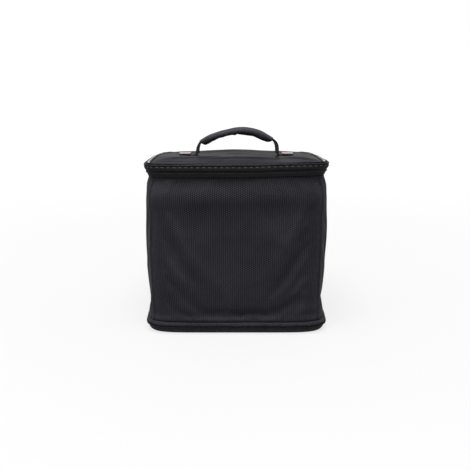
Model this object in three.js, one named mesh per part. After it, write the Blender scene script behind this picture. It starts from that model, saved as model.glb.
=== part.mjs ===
// Soft helmet case: a padded cloth box with a zipped lid and a webbing carrying handle.
// Millimetres, +Z up, the front faces -Y. The origin is on the floor, under the middle of the case.
import * as THREE from 'three';

// Whole case
const CASE_WIDTH = 336;          // lid, side to side
const CASE_DEPTH = 308;          // lid, front to back
const RIM_HEIGHT = 306;          // floor to the lower edge of the lid
const CORNER_POWER = 8;          // plan outline: 2 is an ellipse, higher is squarer
const GAP = 0.3;                 // left between neighbouring pieces

// Bottom panel and the band above it
const FLOOR_THICKNESS = 13;
const FLOOR_ROLL = 9;            // how far the rolled edge draws in at the ground
const BAND_HEIGHT = 8;
const BAND_THICKNESS = 7;
const BAND_FLARE = 1.2;          // band's outer face out beyond the lid's rim line
const BAND_CREASE = 1.2;         // how far the band draws in at its two seams

// Wall
const WALL_THICKNESS = 6;
const WAIST_INSET = 8;           // wall's top edge behind the lid's rim line
const SIDE_BULGE = 5;            // sides, out from the waist
const FRONT_BULGE = 6.5;         // front and back, out from the waist
const FOLD_DEPTH = 2.2;
const WELT_WIDTH = 3.2;
const WELT_HEIGHT = 1.2;

// Zip and hinge, stacked between the wall and the lid
const TAPE_HEIGHT = 8;
const TAPE_THICKNESS = 1.6;
const COIL_HEIGHT = 3.2;
const COIL_THICKNESS = 2.6;
const TAPE_TOP_INSET = 1;        // upper tape's top edge behind the lid's rim line
const ZIP_SLANT = 1.6;           // above 1, the zip leans in more towards its foot
const COIL_RECESS = 0.6;         // coil's face behind the line of the two tapes
const HINGE_WIDTH = 236;         // the part of the back with no zip
const HINGE_THICKNESS = 2;
const SLIDER_BACK = 92;          // slider's place behind the middle of the right side
const SLIDER_LENGTH = 10;
const SLIDER_HEIGHT = 12;
const SLIDER_THICKNESS = 4;
const PULL_LENGTH = 24;
const PULL_WIDTH = 6;
const PULL_THICKNESS = 1.6;

// Lid
const LID_RISE = 9.5;            // lower edge to the ridge round the top
const LID_THICKNESS = 6;
const CORNER_LIFT = 3;           // right front corner stands proud
const CORNER_SAG = 3;            // both back corners hang a little
const CORNER_FADE = 0.45;        // share of the rise that the lid lacks at its corners
const DENT_DEPTH = 1.4;
const TRIM_LENGTH = 250;
const TRIM_WIDTH = 9;
const TRIM_THICKNESS = 1;
const TRIM_INSET = 4;

// Handle
const HANDLE_BACK = 10;          // handle's line behind the middle of the lid
const HANDLE_SPAN = 160;         // leg to leg
const HANDLE_RISE = 46;          // webbing's middle line, from the lid to the crest
const STRAP_WIDTH = 30;
const STRAP_THICKNESS = 4;       // webbing doubled
const FOOT_THICKNESS = 2;        // single webbing where it lies on the lid
const GRIP_LENGTH = 141;
const GRIP_WIDTH = 38;
const GRIP_THICKNESS = 14;
const PATCH_LENGTH = 22;
const PATCH_LAP = 3;             // patch past each edge of the webbing
const PATCH_THICKNESS = 1;

// Steps round and along the pieces
const RING_STEPS = 64;
const CORNER_CROWDING = 0.45;    // draws the steps of a ring towards the four corners
const SEAM_STEP = 7;             // ring step of a front corner seam, counted from the side's middle
const STRAP_STEPS = 54;
const GRIP_STEPS = 22;
const GRIP_SIDES = 12;

// Heights that follow from the sizes above
const BAND_BASE = FLOOR_THICKNESS + GAP;
const WALL_BASE = BAND_BASE + BAND_HEIGHT + GAP;
const UPPER_TAPE_TOP = RIM_HEIGHT - GAP;
const UPPER_TAPE_BASE = UPPER_TAPE_TOP - TAPE_HEIGHT;
const COIL_TOP = UPPER_TAPE_BASE - GAP;
const COIL_BASE = COIL_TOP - COIL_HEIGHT;
const LOWER_TAPE_TOP = COIL_BASE - GAP;
const LOWER_TAPE_BASE = LOWER_TAPE_TOP - TAPE_HEIGHT;
const WALL_TOP = LOWER_TAPE_BASE - GAP;

const DEGREE = Math.PI / 180;
const FULL_TURN = 2 * Math.PI;

// Wall, floor to waist: share of its height, then bulges as shares of SIDE_BULGE and FRONT_BULGE
const WALL_FORM = [
  { up: 0.00, side: 0.80, front: 0.86, back: 0.80 },
  { up: 0.03, side: 0.98, front: 1.02, back: 0.95 },
  { up: 0.06, side: 0.80, front: 0.86, back: 0.80 },
  { up: 0.12, side: 0.64, front: 0.70, back: 0.62 },
  { up: 0.22, side: 0.84, front: 0.78, back: 0.68 },
  { up: 0.34, side: 1.06, front: 0.88, back: 0.80 },
  { up: 0.47, side: 1.16, front: 0.96, back: 0.88 },
  { up: 0.60, side: 1.18, front: 1.00, back: 0.92 },
  { up: 0.72, side: 1.16, front: 1.00, back: 0.92 },
  { up: 0.82, side: 1.04, front: 0.88, back: 0.82 },
  { up: 0.90, side: 0.78, front: 0.60, back: 0.58 },
  { up: 0.96, side: 0.28, front: 0.26, back: 0.26 },
  { up: 1.00, side: 0.00, front: 0.00, back: 0.00 },
];

// Soft folds of the wall: turn 0 is +X, 0.75 the front; length and width are shares of CASE_WIDTH
const FOLDS = [
  { turn: 0.644, up: 0.42, tilt: -52, length: 0.15, width: 0.060, depth: 0.9 },
  { turn: 0.690, up: 0.80, tilt: -8, length: 0.24, width: 0.080, depth: 0.6 },
  { turn: 0.838, up: 0.70, tilt: 28, length: 0.18, width: 0.060, depth: 0.9 },
  { turn: 0.642, up: 0.12, tilt: 34, length: 0.14, width: 0.050, depth: -0.8 },
  { turn: 0.838, up: 0.11, tilt: 12, length: 0.20, width: 0.050, depth: -0.7 },
  { turn: 0.985, up: 0.45, tilt: 70, length: 0.22, width: 0.080, depth: -0.8 },
  { turn: 0.515, up: 0.55, tilt: -65, length: 0.22, width: 0.080, depth: -0.8 },
  { turn: 0.235, up: 0.50, tilt: 15, length: 0.30, width: 0.090, depth: -0.9 },
];

// Lid from its lower edge over the rim to the middle: share of the outline, share of LID_RISE
const LID_FORM = [
  { reach: 0.995, up: 0.00 },
  { reach: 1.000, up: 0.12 },
  { reach: 0.998, up: 0.26 },
  { reach: 0.985, up: 0.38 },
  { reach: 0.950, up: 0.50 },
  { reach: 0.890, up: 0.66 },
  { reach: 0.820, up: 0.86 },
  { reach: 0.750, up: 1.00 },
  { reach: 0.690, up: 0.96 },
  { reach: 0.600, up: 0.82 },
  { reach: 0.450, up: 0.68 },
  { reach: 0.280, up: 0.62 },
  { reach: 0.120, up: 0.60 },
];
const LID_RIM_ROW = 1;           // widest row of the lid's table
const LID_UNDERSIDE = [0.965, 0.94, 0.82, 0.69, 0.45, 0.12];

// Dents of the lid's top: place as shares of the half width and half depth
const LID_DENTS = [
  { across: -0.60, back: 0.06, spread: 0.20, depth: -1.2 },
  { across: 0.60, back: 0.06, spread: 0.20, depth: -1.2 },
  { across: 0.17, back: -0.38, spread: 0.15, depth: -1.0 },
  { across: 0.52, back: -0.42, spread: 0.13, depth: 0.8 },
  { across: -0.34, back: -0.40, spread: 0.17, depth: -0.6 },
  { across: -0.20, back: 0.55, spread: 0.20, depth: -0.8 },
];

// Webbing from foot to foot: shares of half of HANDLE_SPAN and of HANDLE_RISE, and of the way from
// FOOT_THICKNESS to STRAP_THICKNESS
const HANDLE_PATH = [
  { across: -1.400, up: 0.000, full: 0 },
  { across: -1.230, up: 0.000, full: 0 },
  { across: -1.070, up: 0.000, full: 0 },
  { across: -0.979, up: 0.028, full: 0.5 },
  { across: -0.957, up: 0.124, full: 1 },
  { across: -0.945, up: 0.269, full: 1 },
  { across: -0.921, up: 0.406, full: 1 },
  { across: -0.872, up: 0.547, full: 1 },
  { across: -0.794, up: 0.631, full: 1 },
  { across: -0.693, up: 0.702, full: 1 },
  { across: -0.487, up: 0.808, full: 1 },
  { across: -0.296, up: 0.893, full: 1 },
  { across: -0.037, up: 0.994, full: 1 },
  { across: 0.125, up: 1.019, full: 1 },
  { across: 0.383, up: 0.982, full: 1 },
  { across: 0.481, up: 0.940, full: 1 },
  { across: 0.630, up: 0.850, full: 1 },
  { across: 0.790, up: 0.747, full: 1 },
  { across: 0.871, up: 0.675, full: 1 },
  { across: 0.951, up: 0.559, full: 1 },
  { across: 0.990, up: 0.433, full: 1 },
  { across: 1.005, up: 0.283, full: 1 },
  { across: 1.010, up: 0.141, full: 1 },
  { across: 1.025, up: 0.032, full: 0.5 },
  { across: 1.110, up: 0.000, full: 0 },
  { across: 1.240, up: 0.000, full: 0 },
  { across: 1.400, up: 0.000, full: 0 },
];

// Grip along its length: shares of GRIP_THICKNESS above and below the webbing's middle line
const GRIP_FORM = [
  { along: 0.00, above: 0.25, below: 0.34 },
  { along: 0.03, above: 0.27, below: 0.66 },
  { along: 0.08, above: 0.31, below: 0.76 },
  { along: 0.15, above: 0.40, below: 0.66 },
  { along: 0.24, above: 0.48, below: 0.48 },
  { along: 0.34, above: 0.50, below: 0.44 },
  { along: 0.42, above: 0.50, below: 0.40 },
  { along: 0.47, above: 0.50, below: 0.54 },
  { along: 0.52, above: 0.50, below: 0.42 },
  { along: 0.62, above: 0.50, below: 0.48 },
  { along: 0.74, above: 0.50, below: 0.60 },
  { along: 0.84, above: 0.46, below: 0.72 },
  { along: 0.92, above: 0.33, below: 0.72 },
  { along: 0.97, above: 0.27, below: 0.60 },
  { along: 1.00, above: 0.25, below: 0.34 },
];

const cloth = { color: 0x2f2e33, roughness: 0.82, metalness: 0 };
const topCloth = { color: 0x3a393e, roughness: 0.7, metalness: 0 };
const webbing = { color: 0x1d1d1f, roughness: 0.75, metalness: 0 };
const tapeCloth = { color: 0x1b1b1c, roughness: 0.85, metalness: 0 };
const nylon = { color: 0x121213, roughness: 0.5, metalness: 0 };
const lightTrim = { color: 0xd9d9d6, roughness: 0.55, metalness: 0 };
const lightPatch = { color: 0xe4e2de, roughness: 0.5, metalness: 0 };

const helmetCase = new THREE.Group();

// Value of one column of a table at a place between its rows
function readTable(table, placeColumn, column, place) {
  const forwards = table[table.length - 1][placeColumn] > table[0][placeColumn];
  const rows = forwards ? table : [...table].reverse();
  const next = rows.findIndex((row) => row[placeColumn] >= place);
  if (next === 0) return rows[0][column];
  if (next < 0) return rows[rows.length - 1][column];
  const below = rows[next - 1];
  const above = rows[next];
  const share = (place - below[placeColumn]) / (above[placeColumn] - below[placeColumn]);
  return THREE.MathUtils.lerp(below[column], above[column], share);
}

// Distance from the middle to the rounded outline, in the direction of an angle about +Z
function outlineReach(angle, halfWidth, front, back) {
  const depth = Math.sin(angle) < 0 ? front : back;
  const across = Math.abs(Math.cos(angle) / halfWidth) ** CORNER_POWER;
  const along = Math.abs(Math.sin(angle) / depth) ** CORNER_POWER;
  return (across + along) ** (-1 / CORNER_POWER);
}

// Point on the lid's rim line drawn in by an inset
function rimPoint(angle, inset, z) {
  const reach = outlineReach(angle, CASE_WIDTH / 2 - inset, CASE_DEPTH / 2 - inset, CASE_DEPTH / 2 - inset);
  return new THREE.Vector3(Math.cos(angle) * reach, Math.sin(angle) * reach, z);
}

function ringAngle(step) {
  const turn = FULL_TURN * step / RING_STEPS;
  return turn + CORNER_CROWDING / 4 * Math.sin(4 * turn);
}

function ringAngles() {
  return Array.from({ length: RING_STEPS }, (_, step) => ringAngle(step));
}

// Angles from one to another, through every ring step that lies between them
function anglesBetween(from, to) {
  const nearest = (to - from) / RING_STEPS / RING_STEPS;
  const between = [];
  for (let step = -RING_STEPS; step <= 2 * RING_STEPS; step += 1) {
    const angle = ringAngle(step);
    if (angle > from + nearest && angle < to - nearest) between.push(angle);
  }
  return [from, ...between, to];
}

// Closed body through a row of loops of points, joined in a ring or capped at its two ends
function skin(loops, closed) {
  const sides = loops[0].length;
  const points = loops.flat();
  const faces = [];
  const rows = closed ? loops.length : loops.length - 1;
  for (let row = 0; row < rows; row += 1) {
    const here = row * sides;
    const there = ((row + 1) % loops.length) * sides;
    for (let side = 0; side < sides; side += 1) {
      const next = (side + 1) % sides;
      faces.push([here + side, here + next, there + next], [here + side, there + next, there + side]);
    }
  }
  if (!closed) {
    const last = (loops.length - 1) * sides;
    const start = points.push(middle(loops[0])) - 1;
    const end = points.push(middle(loops[loops.length - 1])) - 1;
    for (let side = 0; side < sides; side += 1) {
      const next = (side + 1) % sides;
      faces.push([start, next, side], [end, last + side, last + next]);
    }
  }
  const volume = faces.reduce((sum, [a, b, c]) => (
    sum + points[a].dot(new THREE.Vector3().crossVectors(points[b], points[c]))), 0);
  const outward = volume > 0 ? faces : faces.map(([a, b, c]) => [a, c, b]);
  const geometry = new THREE.BufferGeometry().setFromPoints(points);
  geometry.setIndex(outward.flat());
  geometry.computeVertexNormals();
  return geometry;
}

function middle(loop) {
  return loop.reduce((sum, point) => sum.add(point), new THREE.Vector3()).divideScalar(loop.length);
}

function addPiece(name, geometry, finish) {
  const piece = new THREE.Mesh(geometry, new THREE.MeshStandardMaterial(finish));
  piece.name = name;
  helmetCase.add(piece);
}

// 1 towards a corner of the outline, 0 towards the middle of a side
function cornerShare(angle) {
  return Math.sin(2 * angle) ** 2;
}

// Lid, zip and the top of the wall rise a little at the right front corner and hang at the back ones
function rimSway(angle) {
  if (Math.sin(angle) > 0) return -CORNER_SAG * cornerShare(angle);
  return Math.cos(angle) > 0 ? CORNER_LIFT * cornerShare(angle) : 0;
}

// Outward push of the wall's soft folds
function foldPush(angle, up) {
  const around = 2 * (CASE_WIDTH + CASE_DEPTH);
  const turn = (angle / FULL_TURN + 1) % 1;
  return FOLDS.reduce((sum, fold) => {
    const apart = turn - fold.turn;
    const across = (apart - Math.round(apart)) * around;
    const rise = (up - fold.up) * (WALL_TOP - WALL_BASE);
    const lengthwise = across * Math.cos(fold.tilt * DEGREE) + rise * Math.sin(fold.tilt * DEGREE);
    const crosswise = rise * Math.cos(fold.tilt * DEGREE) - across * Math.sin(fold.tilt * DEGREE);
    const fade = (lengthwise / fold.length) ** 2 + (crosswise / fold.width) ** 2;
    return sum + FOLD_DEPTH * fold.depth * Math.exp(-fade / CASE_WIDTH ** 2);
  }, 0);
}

// Point of the wall's outer face, or of a face behind it
function wallPoint(angle, up, inset) {
  const draw = WAIST_INSET + inset;
  const halfWidth = CASE_WIDTH / 2 - draw + SIDE_BULGE * readTable(WALL_FORM, 'up', 'side', up);
  const front = CASE_DEPTH / 2 - draw + FRONT_BULGE * readTable(WALL_FORM, 'up', 'front', up);
  const back = CASE_DEPTH / 2 - draw + FRONT_BULGE * readTable(WALL_FORM, 'up', 'back', up);
  const fade = Math.sin(Math.PI * up) ** 0.5;
  const push = inset === 0 ? foldPush(angle, up) * fade : 0;
  const reach = outlineReach(angle, halfWidth, front, back) + push;
  const z = THREE.MathUtils.lerp(WALL_BASE, WALL_TOP, up) + rimSway(angle) * up ** 6;
  return new THREE.Vector3(Math.cos(angle) * reach, Math.sin(angle) * reach, z);
}

function addFloorPanel() {
  const rows = [
    { inset: 0.9 * CASE_WIDTH / 2, z: 0 },
    { inset: FLOOR_ROLL, z: 0 },
    { inset: FLOOR_ROLL * 0.50, z: FLOOR_THICKNESS * 0.11 },
    { inset: FLOOR_ROLL * 0.18, z: FLOOR_THICKNESS * 0.36 },
    { inset: FLOOR_ROLL * 0.06, z: FLOOR_THICKNESS * 0.66 },
    { inset: BAND_CREASE - BAND_FLARE, z: FLOOR_THICKNESS },
    { inset: 0.9 * CASE_WIDTH / 2, z: FLOOR_THICKNESS },
  ];
  const loops = rows.map((row) => ringAngles().map((angle) => rimPoint(angle, row.inset, row.z)));
  addPiece('floor_panel', skin(loops, false), cloth);
}

function addBaseBand() {
  const top = BAND_BASE + BAND_HEIGHT;
  const section = [
    { inset: BAND_CREASE - BAND_FLARE, z: BAND_BASE },
    { inset: -BAND_FLARE, z: BAND_BASE + BAND_HEIGHT * 0.3 },
    { inset: -BAND_FLARE, z: BAND_BASE + BAND_HEIGHT * 0.7 },
    { inset: BAND_CREASE - BAND_FLARE, z: top },
    { inset: BAND_THICKNESS - BAND_FLARE, z: top },
    { inset: BAND_THICKNESS - BAND_FLARE, z: BAND_BASE },
  ];
  const loops = ringAngles().map((angle) => section.map((point) => rimPoint(angle, point.inset, point.z)));
  addPiece('base_band', skin(loops, true), cloth);
}

function addBodyWall() {
  const outer = WALL_FORM.map((row) => ({ up: row.up, inset: 0 }));
  const inner = WALL_FORM.map((row) => ({ up: row.up, inset: WALL_THICKNESS })).reverse();
  const section = [...outer, ...inner];
  const loops = ringAngles().map((angle) => section.map((point) => wallPoint(angle, point.up, point.inset)));
  addPiece('body_wall', skin(loops, true), cloth);
}

// Raised seam up one front corner of the wall
function addSeamWelt(name, step) {
  const angle = ringAngle(step);
  const before = wallPoint(ringAngle(step - 1), 0.5, 0);
  const after = wallPoint(ringAngle(step + 1), 0.5, 0);
  const along = after.sub(before).setZ(0).normalize();
  const outward = new THREE.Vector3(along.y, -along.x, 0);
  const section = [
    { aside: -0.5, out: GAP },
    { aside: -0.25, out: GAP + WELT_HEIGHT },
    { aside: 0.25, out: GAP + WELT_HEIGHT },
    { aside: 0.5, out: GAP },
  ];
  const loops = WALL_FORM.map((row) => section.map((point) => wallPoint(angle, row.up, 0)
    .addScaledVector(along, point.aside * WELT_WIDTH)
    .addScaledVector(outward, point.out)));
  addPiece(name, skin(loops, false), cloth);
}

// How far the slanting face of the zip stands behind the rim line at a height
function stackInset(z) {
  const share = (UPPER_TAPE_TOP - z) / (UPPER_TAPE_TOP - LOWER_TAPE_BASE);
  return THREE.MathUtils.lerp(TAPE_TOP_INSET, WAIST_INSET - GAP, share ** ZIP_SLANT);
}

// Band that follows the zip's face between two heights, along a run of angles
function stackBand(angles, base, top, recess, thickness) {
  const section = [
    { inset: stackInset(base) + recess, z: base },
    { inset: stackInset(top) + recess, z: top },
    { inset: stackInset(top) + recess + thickness, z: top },
    { inset: stackInset(base) + recess + thickness, z: base },
  ];
  const loops = angles.map((angle) => section.map((point) => (
    rimPoint(angle, point.inset, point.z + rimSway(angle)))));
  return skin(loops, false);
}

// Angle at which the back of the rim line stands a given distance left of the middle
function backAngle(across) {
  const halfWidth = CASE_WIDTH / 2;
  const y = CASE_DEPTH / 2 * (1 - (across / halfWidth) ** CORNER_POWER) ** (1 / CORNER_POWER);
  return Math.atan2(y, -across);
}

function addZip() {
  const start = backAngle(HINGE_WIDTH / 2 + 2 * GAP);
  const angles = anglesBetween(start, 3 * Math.PI - start);
  const upper = stackBand(angles, UPPER_TAPE_BASE, UPPER_TAPE_TOP, 0, TAPE_THICKNESS);
  const coil = stackBand(angles, COIL_BASE, COIL_TOP, COIL_RECESS, COIL_THICKNESS);
  const lower = stackBand(angles, LOWER_TAPE_BASE, LOWER_TAPE_TOP, 0, TAPE_THICKNESS);
  addPiece('zip_tape_upper', upper, tapeCloth);
  addPiece('zip_coil', coil, nylon);
  addPiece('zip_tape_lower', lower, tapeCloth);
}

function addHingeStrip() {
  const end = backAngle(HINGE_WIDTH / 2);
  const angles = anglesBetween(Math.PI - end, end);
  addPiece('hinge_strip', stackBand(angles, LOWER_TAPE_BASE, UPPER_TAPE_TOP, 0, HINGE_THICKNESS), cloth);
}

// Slider with its pull hanging down, outside the right-hand side of the zip
function addZipSlider() {
  const top = (COIL_TOP + COIL_BASE + SLIDER_HEIGHT) / 2;
  const base = top - SLIDER_HEIGHT;
  const nearY = SLIDER_BACK - SLIDER_LENGTH / 2;
  const nearAngle = Math.atan2(nearY, CASE_WIDTH / 2);
  const sway = rimSway(nearAngle);
  const face = (z) => {
    if (z >= LOWER_TAPE_BASE) return rimPoint(nearAngle, stackInset(z), z).x + GAP;
    return wallPoint(nearAngle, (z + sway - WALL_BASE) / (WALL_TOP - WALL_BASE), 0).x + GAP;
  };
  const rows = [
    { z: top, thickness: SLIDER_THICKNESS / 2, half: SLIDER_LENGTH / 3 },
    { z: top - SLIDER_HEIGHT / 6, thickness: SLIDER_THICKNESS, half: SLIDER_LENGTH / 2 },
    { z: base + SLIDER_HEIGHT / 12, thickness: SLIDER_THICKNESS, half: SLIDER_LENGTH / 2 },
    { z: base, thickness: PULL_THICKNESS, half: PULL_WIDTH / 3 },
    { z: base - PULL_LENGTH * 0.3, thickness: PULL_THICKNESS, half: PULL_WIDTH / 3 },
    { z: base - PULL_LENGTH * 0.4, thickness: PULL_THICKNESS, half: PULL_WIDTH / 2 },
    { z: base - PULL_LENGTH, thickness: PULL_THICKNESS, half: PULL_WIDTH / 2 },
  ];
  const loops = rows.map((row) => [
    new THREE.Vector3(face(row.z), SLIDER_BACK - row.half, row.z + sway),
    new THREE.Vector3(face(row.z) + row.thickness, SLIDER_BACK - row.half, row.z + sway),
    new THREE.Vector3(face(row.z) + row.thickness, SLIDER_BACK + row.half, row.z + sway),
    new THREE.Vector3(face(row.z), SLIDER_BACK + row.half, row.z + sway),
  ]);
  addPiece('zip_slider', skin(loops, false), nylon);
}

// Push of the lid's dents at a point of its top
function dentPush(x, y) {
  return LID_DENTS.reduce((sum, dent) => {
    const across = (x / (CASE_WIDTH / 2) - dent.across) / dent.spread;
    const back = (y / (CASE_DEPTH / 2) - dent.back) / dent.spread;
    return sum + DENT_DEPTH * dent.depth * Math.exp(-(across ** 2 + back ** 2));
  }, 0);
}

// Height of the lid's surface in a direction, at a share of the way out to its rim
function lidHeight(angle, reach, up) {
  const rim = rimPoint(angle, 0, 0).multiplyScalar(reach);
  const rise = LID_RISE * up * (1 - CORNER_FADE * cornerShare(angle) * reach ** 2);
  return RIM_HEIGHT + rise + rimSway(angle) * reach ** 4 + dentPush(rim.x, rim.y) * up;
}

function lidTop(x, y) {
  const angle = Math.atan2(y, x);
  const reach = Math.hypot(x, y) / rimPoint(angle, 0, 0).length();
  return lidHeight(angle, reach, readTable(LID_FORM.slice(LID_RIM_ROW), 'reach', 'up', reach));
}

function lidRing(reach, height) {
  return ringAngles().map((angle) => rimPoint(angle, 0, 0).multiplyScalar(reach).setZ(height(angle)));
}

function addLidPanel() {
  const over = LID_FORM.map((row) => lidRing(row.reach, (angle) => lidHeight(angle, row.reach, row.up)));
  const under = LID_UNDERSIDE.map((reach, row) => lidRing(reach, (angle) => {
    if (row === 0) return lidHeight(angle, reach, 0);
    return lidHeight(angle, reach, readTable(LID_FORM, 'reach', 'up', reach)) - LID_THICKNESS;
  }));
  addPiece('lid_panel', skin([...under.reverse(), ...over], false), topCloth);
}

// Light strip along one side of the lid, from the front corner to the back one
function addSideTrim(name, side) {
  const end = Math.atan2(TRIM_LENGTH / 2, CASE_WIDTH / 2);
  const centre = side > 0 ? 0 : Math.PI;
  const insets = [TRIM_INSET, TRIM_INSET + TRIM_WIDTH / 2, TRIM_INSET + TRIM_WIDTH];
  const row = (angle, inset, lift) => {
    const reach = 1 - inset / (CASE_WIDTH / 2);
    const point = rimPoint(angle, 0, 0).multiplyScalar(reach);
    return point.setZ(lidTop(point.x, point.y) + GAP + lift);
  };
  const loops = anglesBetween(centre - end, centre + end).map((angle) => [
    ...insets.map((inset) => row(angle, inset, 0)),
    ...[...insets].reverse().map((inset) => row(angle, inset, TRIM_THICKNESS)),
  ]);
  addPiece(name, skin(loops, false), lightTrim);
}

// Lowest height at which a strip across the handle's line clears the lid
function clearOfLid(x, halfWidth) {
  const places = [-1, -0.5, 0, 0.5, 1].map((share) => lidTop(x, HANDLE_BACK + share * halfWidth));
  return Math.max(...places) + GAP;
}

// Middle line of the webbing where it lies on the lid, or would without its arch
function strapBase(x) {
  const leg = HANDLE_SPAN / 2;
  const rest = (place) => clearOfLid(place, STRAP_WIDTH / 2) + FOOT_THICKNESS / 2;
  if (Math.abs(x) >= leg) return rest(x);
  return THREE.MathUtils.lerp(rest(-leg), rest(leg), (x / leg + 1) / 2);
}

const strapCurve = new THREE.CatmullRomCurve3(HANDLE_PATH.map((row) => {
  const x = row.across * HANDLE_SPAN / 2;
  return new THREE.Vector3(x, HANDLE_BACK, strapBase(x) + row.up * HANDLE_RISE);
}), false, 'centripetal');

// Half the webbing's thickness at a share of its path
function strapHalf(share) {
  const row = Math.min(Math.floor(share * (HANDLE_PATH.length - 1)), HANDLE_PATH.length - 2);
  const past = share * (HANDLE_PATH.length - 1) - row;
  const full = THREE.MathUtils.lerp(HANDLE_PATH[row].full, HANDLE_PATH[row + 1].full, past);
  return THREE.MathUtils.lerp(FOOT_THICKNESS, STRAP_THICKNESS, full) / 2;
}

// Place, direction across the webbing's thickness, direction across its width and half thickness
function strapStation(share) {
  const place = strapCurve.getPoint(share);
  place.z = Math.max(place.z, strapBase(place.x));
  const tangent = strapCurve.getTangent(share);
  const out = new THREE.Vector3(-tangent.z, 0, tangent.x);
  return { place, out, aside: new THREE.Vector3(0, 1, 0), half: strapHalf(share) };
}

function stationPoint(station, aside, out) {
  return station.place.clone().addScaledVector(station.aside, aside).addScaledVector(station.out, out);
}

// Share of the webbing's length at which it passes a place across the lid
function strapShareAt(x) {
  let low = 0;
  let high = 1;
  while (high - low > 1e-6) {
    const half = (low + high) / 2;
    if (strapCurve.getPoint(half).x < x) low = half;
    else high = half;
  }
  return low;
}

function addHandleStrap() {
  const corners = [[-1, -1], [1, -1], [1, 1], [-1, 1]];
  const loops = Array.from({ length: STRAP_STEPS + 1 }, (_, step) => {
    const station = strapStation(step / STRAP_STEPS);
    return corners.map(([aside, out]) => (
      stationPoint(station, aside * STRAP_WIDTH / 2, out * station.half)));
  });
  addPiece('handle_strap', skin(loops, false), webbing);
}

// Padded sleeve round the webbing, with a slot that clears it
function addHandleGrip() {
  const from = strapShareAt(-GRIP_LENGTH / 2);
  const to = strapShareAt(GRIP_LENGTH / 2);
  const cornerAngle = FULL_TURN / GRIP_SIDES;
  const sides = Array.from({ length: GRIP_SIDES }, (_, side) => FULL_TURN * side / GRIP_SIDES);
  const alongs = Array.from({ length: GRIP_STEPS + 1 }, (_, step) => step / GRIP_STEPS);
  const soft = (value, power) => Math.sign(value) * Math.abs(value) ** power;
  const square = (value, corner) => THREE.MathUtils.clamp(value / corner, -1, 1);
  const outer = alongs.map((along) => {
    const station = strapStation(THREE.MathUtils.lerp(from, to, along));
    return sides.map((side) => {
      const column = Math.sin(side) < 0 ? 'below' : 'above';
      const half = GRIP_THICKNESS * readTable(GRIP_FORM, 'along', column, along);
      return stationPoint(station, GRIP_WIDTH / 2 * soft(Math.cos(side), 0.6), half * soft(Math.sin(side), 0.8));
    });
  });
  const slot = alongs.map((along) => {
    const station = strapStation(THREE.MathUtils.lerp(from, to, along));
    return sides.map((side) => stationPoint(
      station,
      (STRAP_WIDTH / 2 + GAP) * square(Math.cos(side), Math.cos(cornerAngle)),
      (STRAP_THICKNESS / 2 + GAP) * square(Math.sin(side), Math.sin(cornerAngle)),
    ));
  }).reverse();
  addPiece('handle_grip', skin([...outer, ...slot], true), webbing);
}

// Patch over the end of one foot of the webbing
function addAnchorPatch(name, side) {
  const outerEnd = Math.abs(HANDLE_PATH[0].across) * HANDLE_SPAN / 2;
  const ends = [0, 0.12, 0.5, 0.88, 1];
  const halves = [0.75, 1, 1, 1, 0.75];
  const loops = ends.map((share, row) => {
    const x = side * (outerEnd - PATCH_LENGTH * (1 - share));
    const base = strapBase(x) + FOOT_THICKNESS / 2 + GAP;
    const half = (STRAP_WIDTH / 2 + PATCH_LAP) * halves[row];
    return [
      new THREE.Vector3(x, HANDLE_BACK - half, base),
      new THREE.Vector3(x, HANDLE_BACK + half, base),
      new THREE.Vector3(x, HANDLE_BACK + half, base + PATCH_THICKNESS),
      new THREE.Vector3(x, HANDLE_BACK - half, base + PATCH_THICKNESS),
    ];
  });
  addPiece(name, skin(loops, false), lightPatch);
}

addFloorPanel();
addBaseBand();
addBodyWall();
addSeamWelt('seam_welt_right', -SEAM_STEP);
addSeamWelt('seam_welt_left', RING_STEPS / 2 + SEAM_STEP);
addZip();
addHingeStrip();
addZipSlider();
addLidPanel();
addSideTrim('side_trim_right', 1);
addSideTrim('side_trim_left', -1);
addHandleStrap();
addHandleGrip();
addAnchorPatch('anchor_patch_right', 1);
addAnchorPatch('anchor_patch_left', -1);

export default helmetCase;
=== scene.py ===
import math

import bmesh
import bpy
from bpy.props import FloatProperty, FloatVectorProperty, IntProperty, PointerProperty
from bpy.types import Operator, Panel, PropertyGroup
from mathutils import Matrix, Vector, noise


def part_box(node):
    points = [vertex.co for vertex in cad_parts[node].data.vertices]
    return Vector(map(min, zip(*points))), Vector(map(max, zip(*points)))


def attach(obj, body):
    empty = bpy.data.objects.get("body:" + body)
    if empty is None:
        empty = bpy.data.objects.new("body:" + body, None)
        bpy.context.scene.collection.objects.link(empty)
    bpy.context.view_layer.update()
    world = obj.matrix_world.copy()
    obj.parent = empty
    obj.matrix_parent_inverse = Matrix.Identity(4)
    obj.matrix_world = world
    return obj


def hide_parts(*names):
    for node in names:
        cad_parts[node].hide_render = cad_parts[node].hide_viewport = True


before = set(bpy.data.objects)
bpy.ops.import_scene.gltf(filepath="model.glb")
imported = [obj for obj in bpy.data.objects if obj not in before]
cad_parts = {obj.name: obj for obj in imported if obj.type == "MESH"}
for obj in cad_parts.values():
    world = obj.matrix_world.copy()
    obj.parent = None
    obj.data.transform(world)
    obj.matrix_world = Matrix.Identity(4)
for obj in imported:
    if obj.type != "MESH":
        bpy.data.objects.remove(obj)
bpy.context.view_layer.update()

bl_info = {
    "name": "Helmet case",
    "version": (1, 0, 0),
    "blender": (4, 5, 0),
    "location": "View3D > Sidebar > Helmet case",
    "description": "Dresses the solids of a soft helmet case in padded cloth, zip, webbing and stitching",
    "category": "Object",
}

TURN = 2 * math.pi
MM = 0.001

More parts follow.
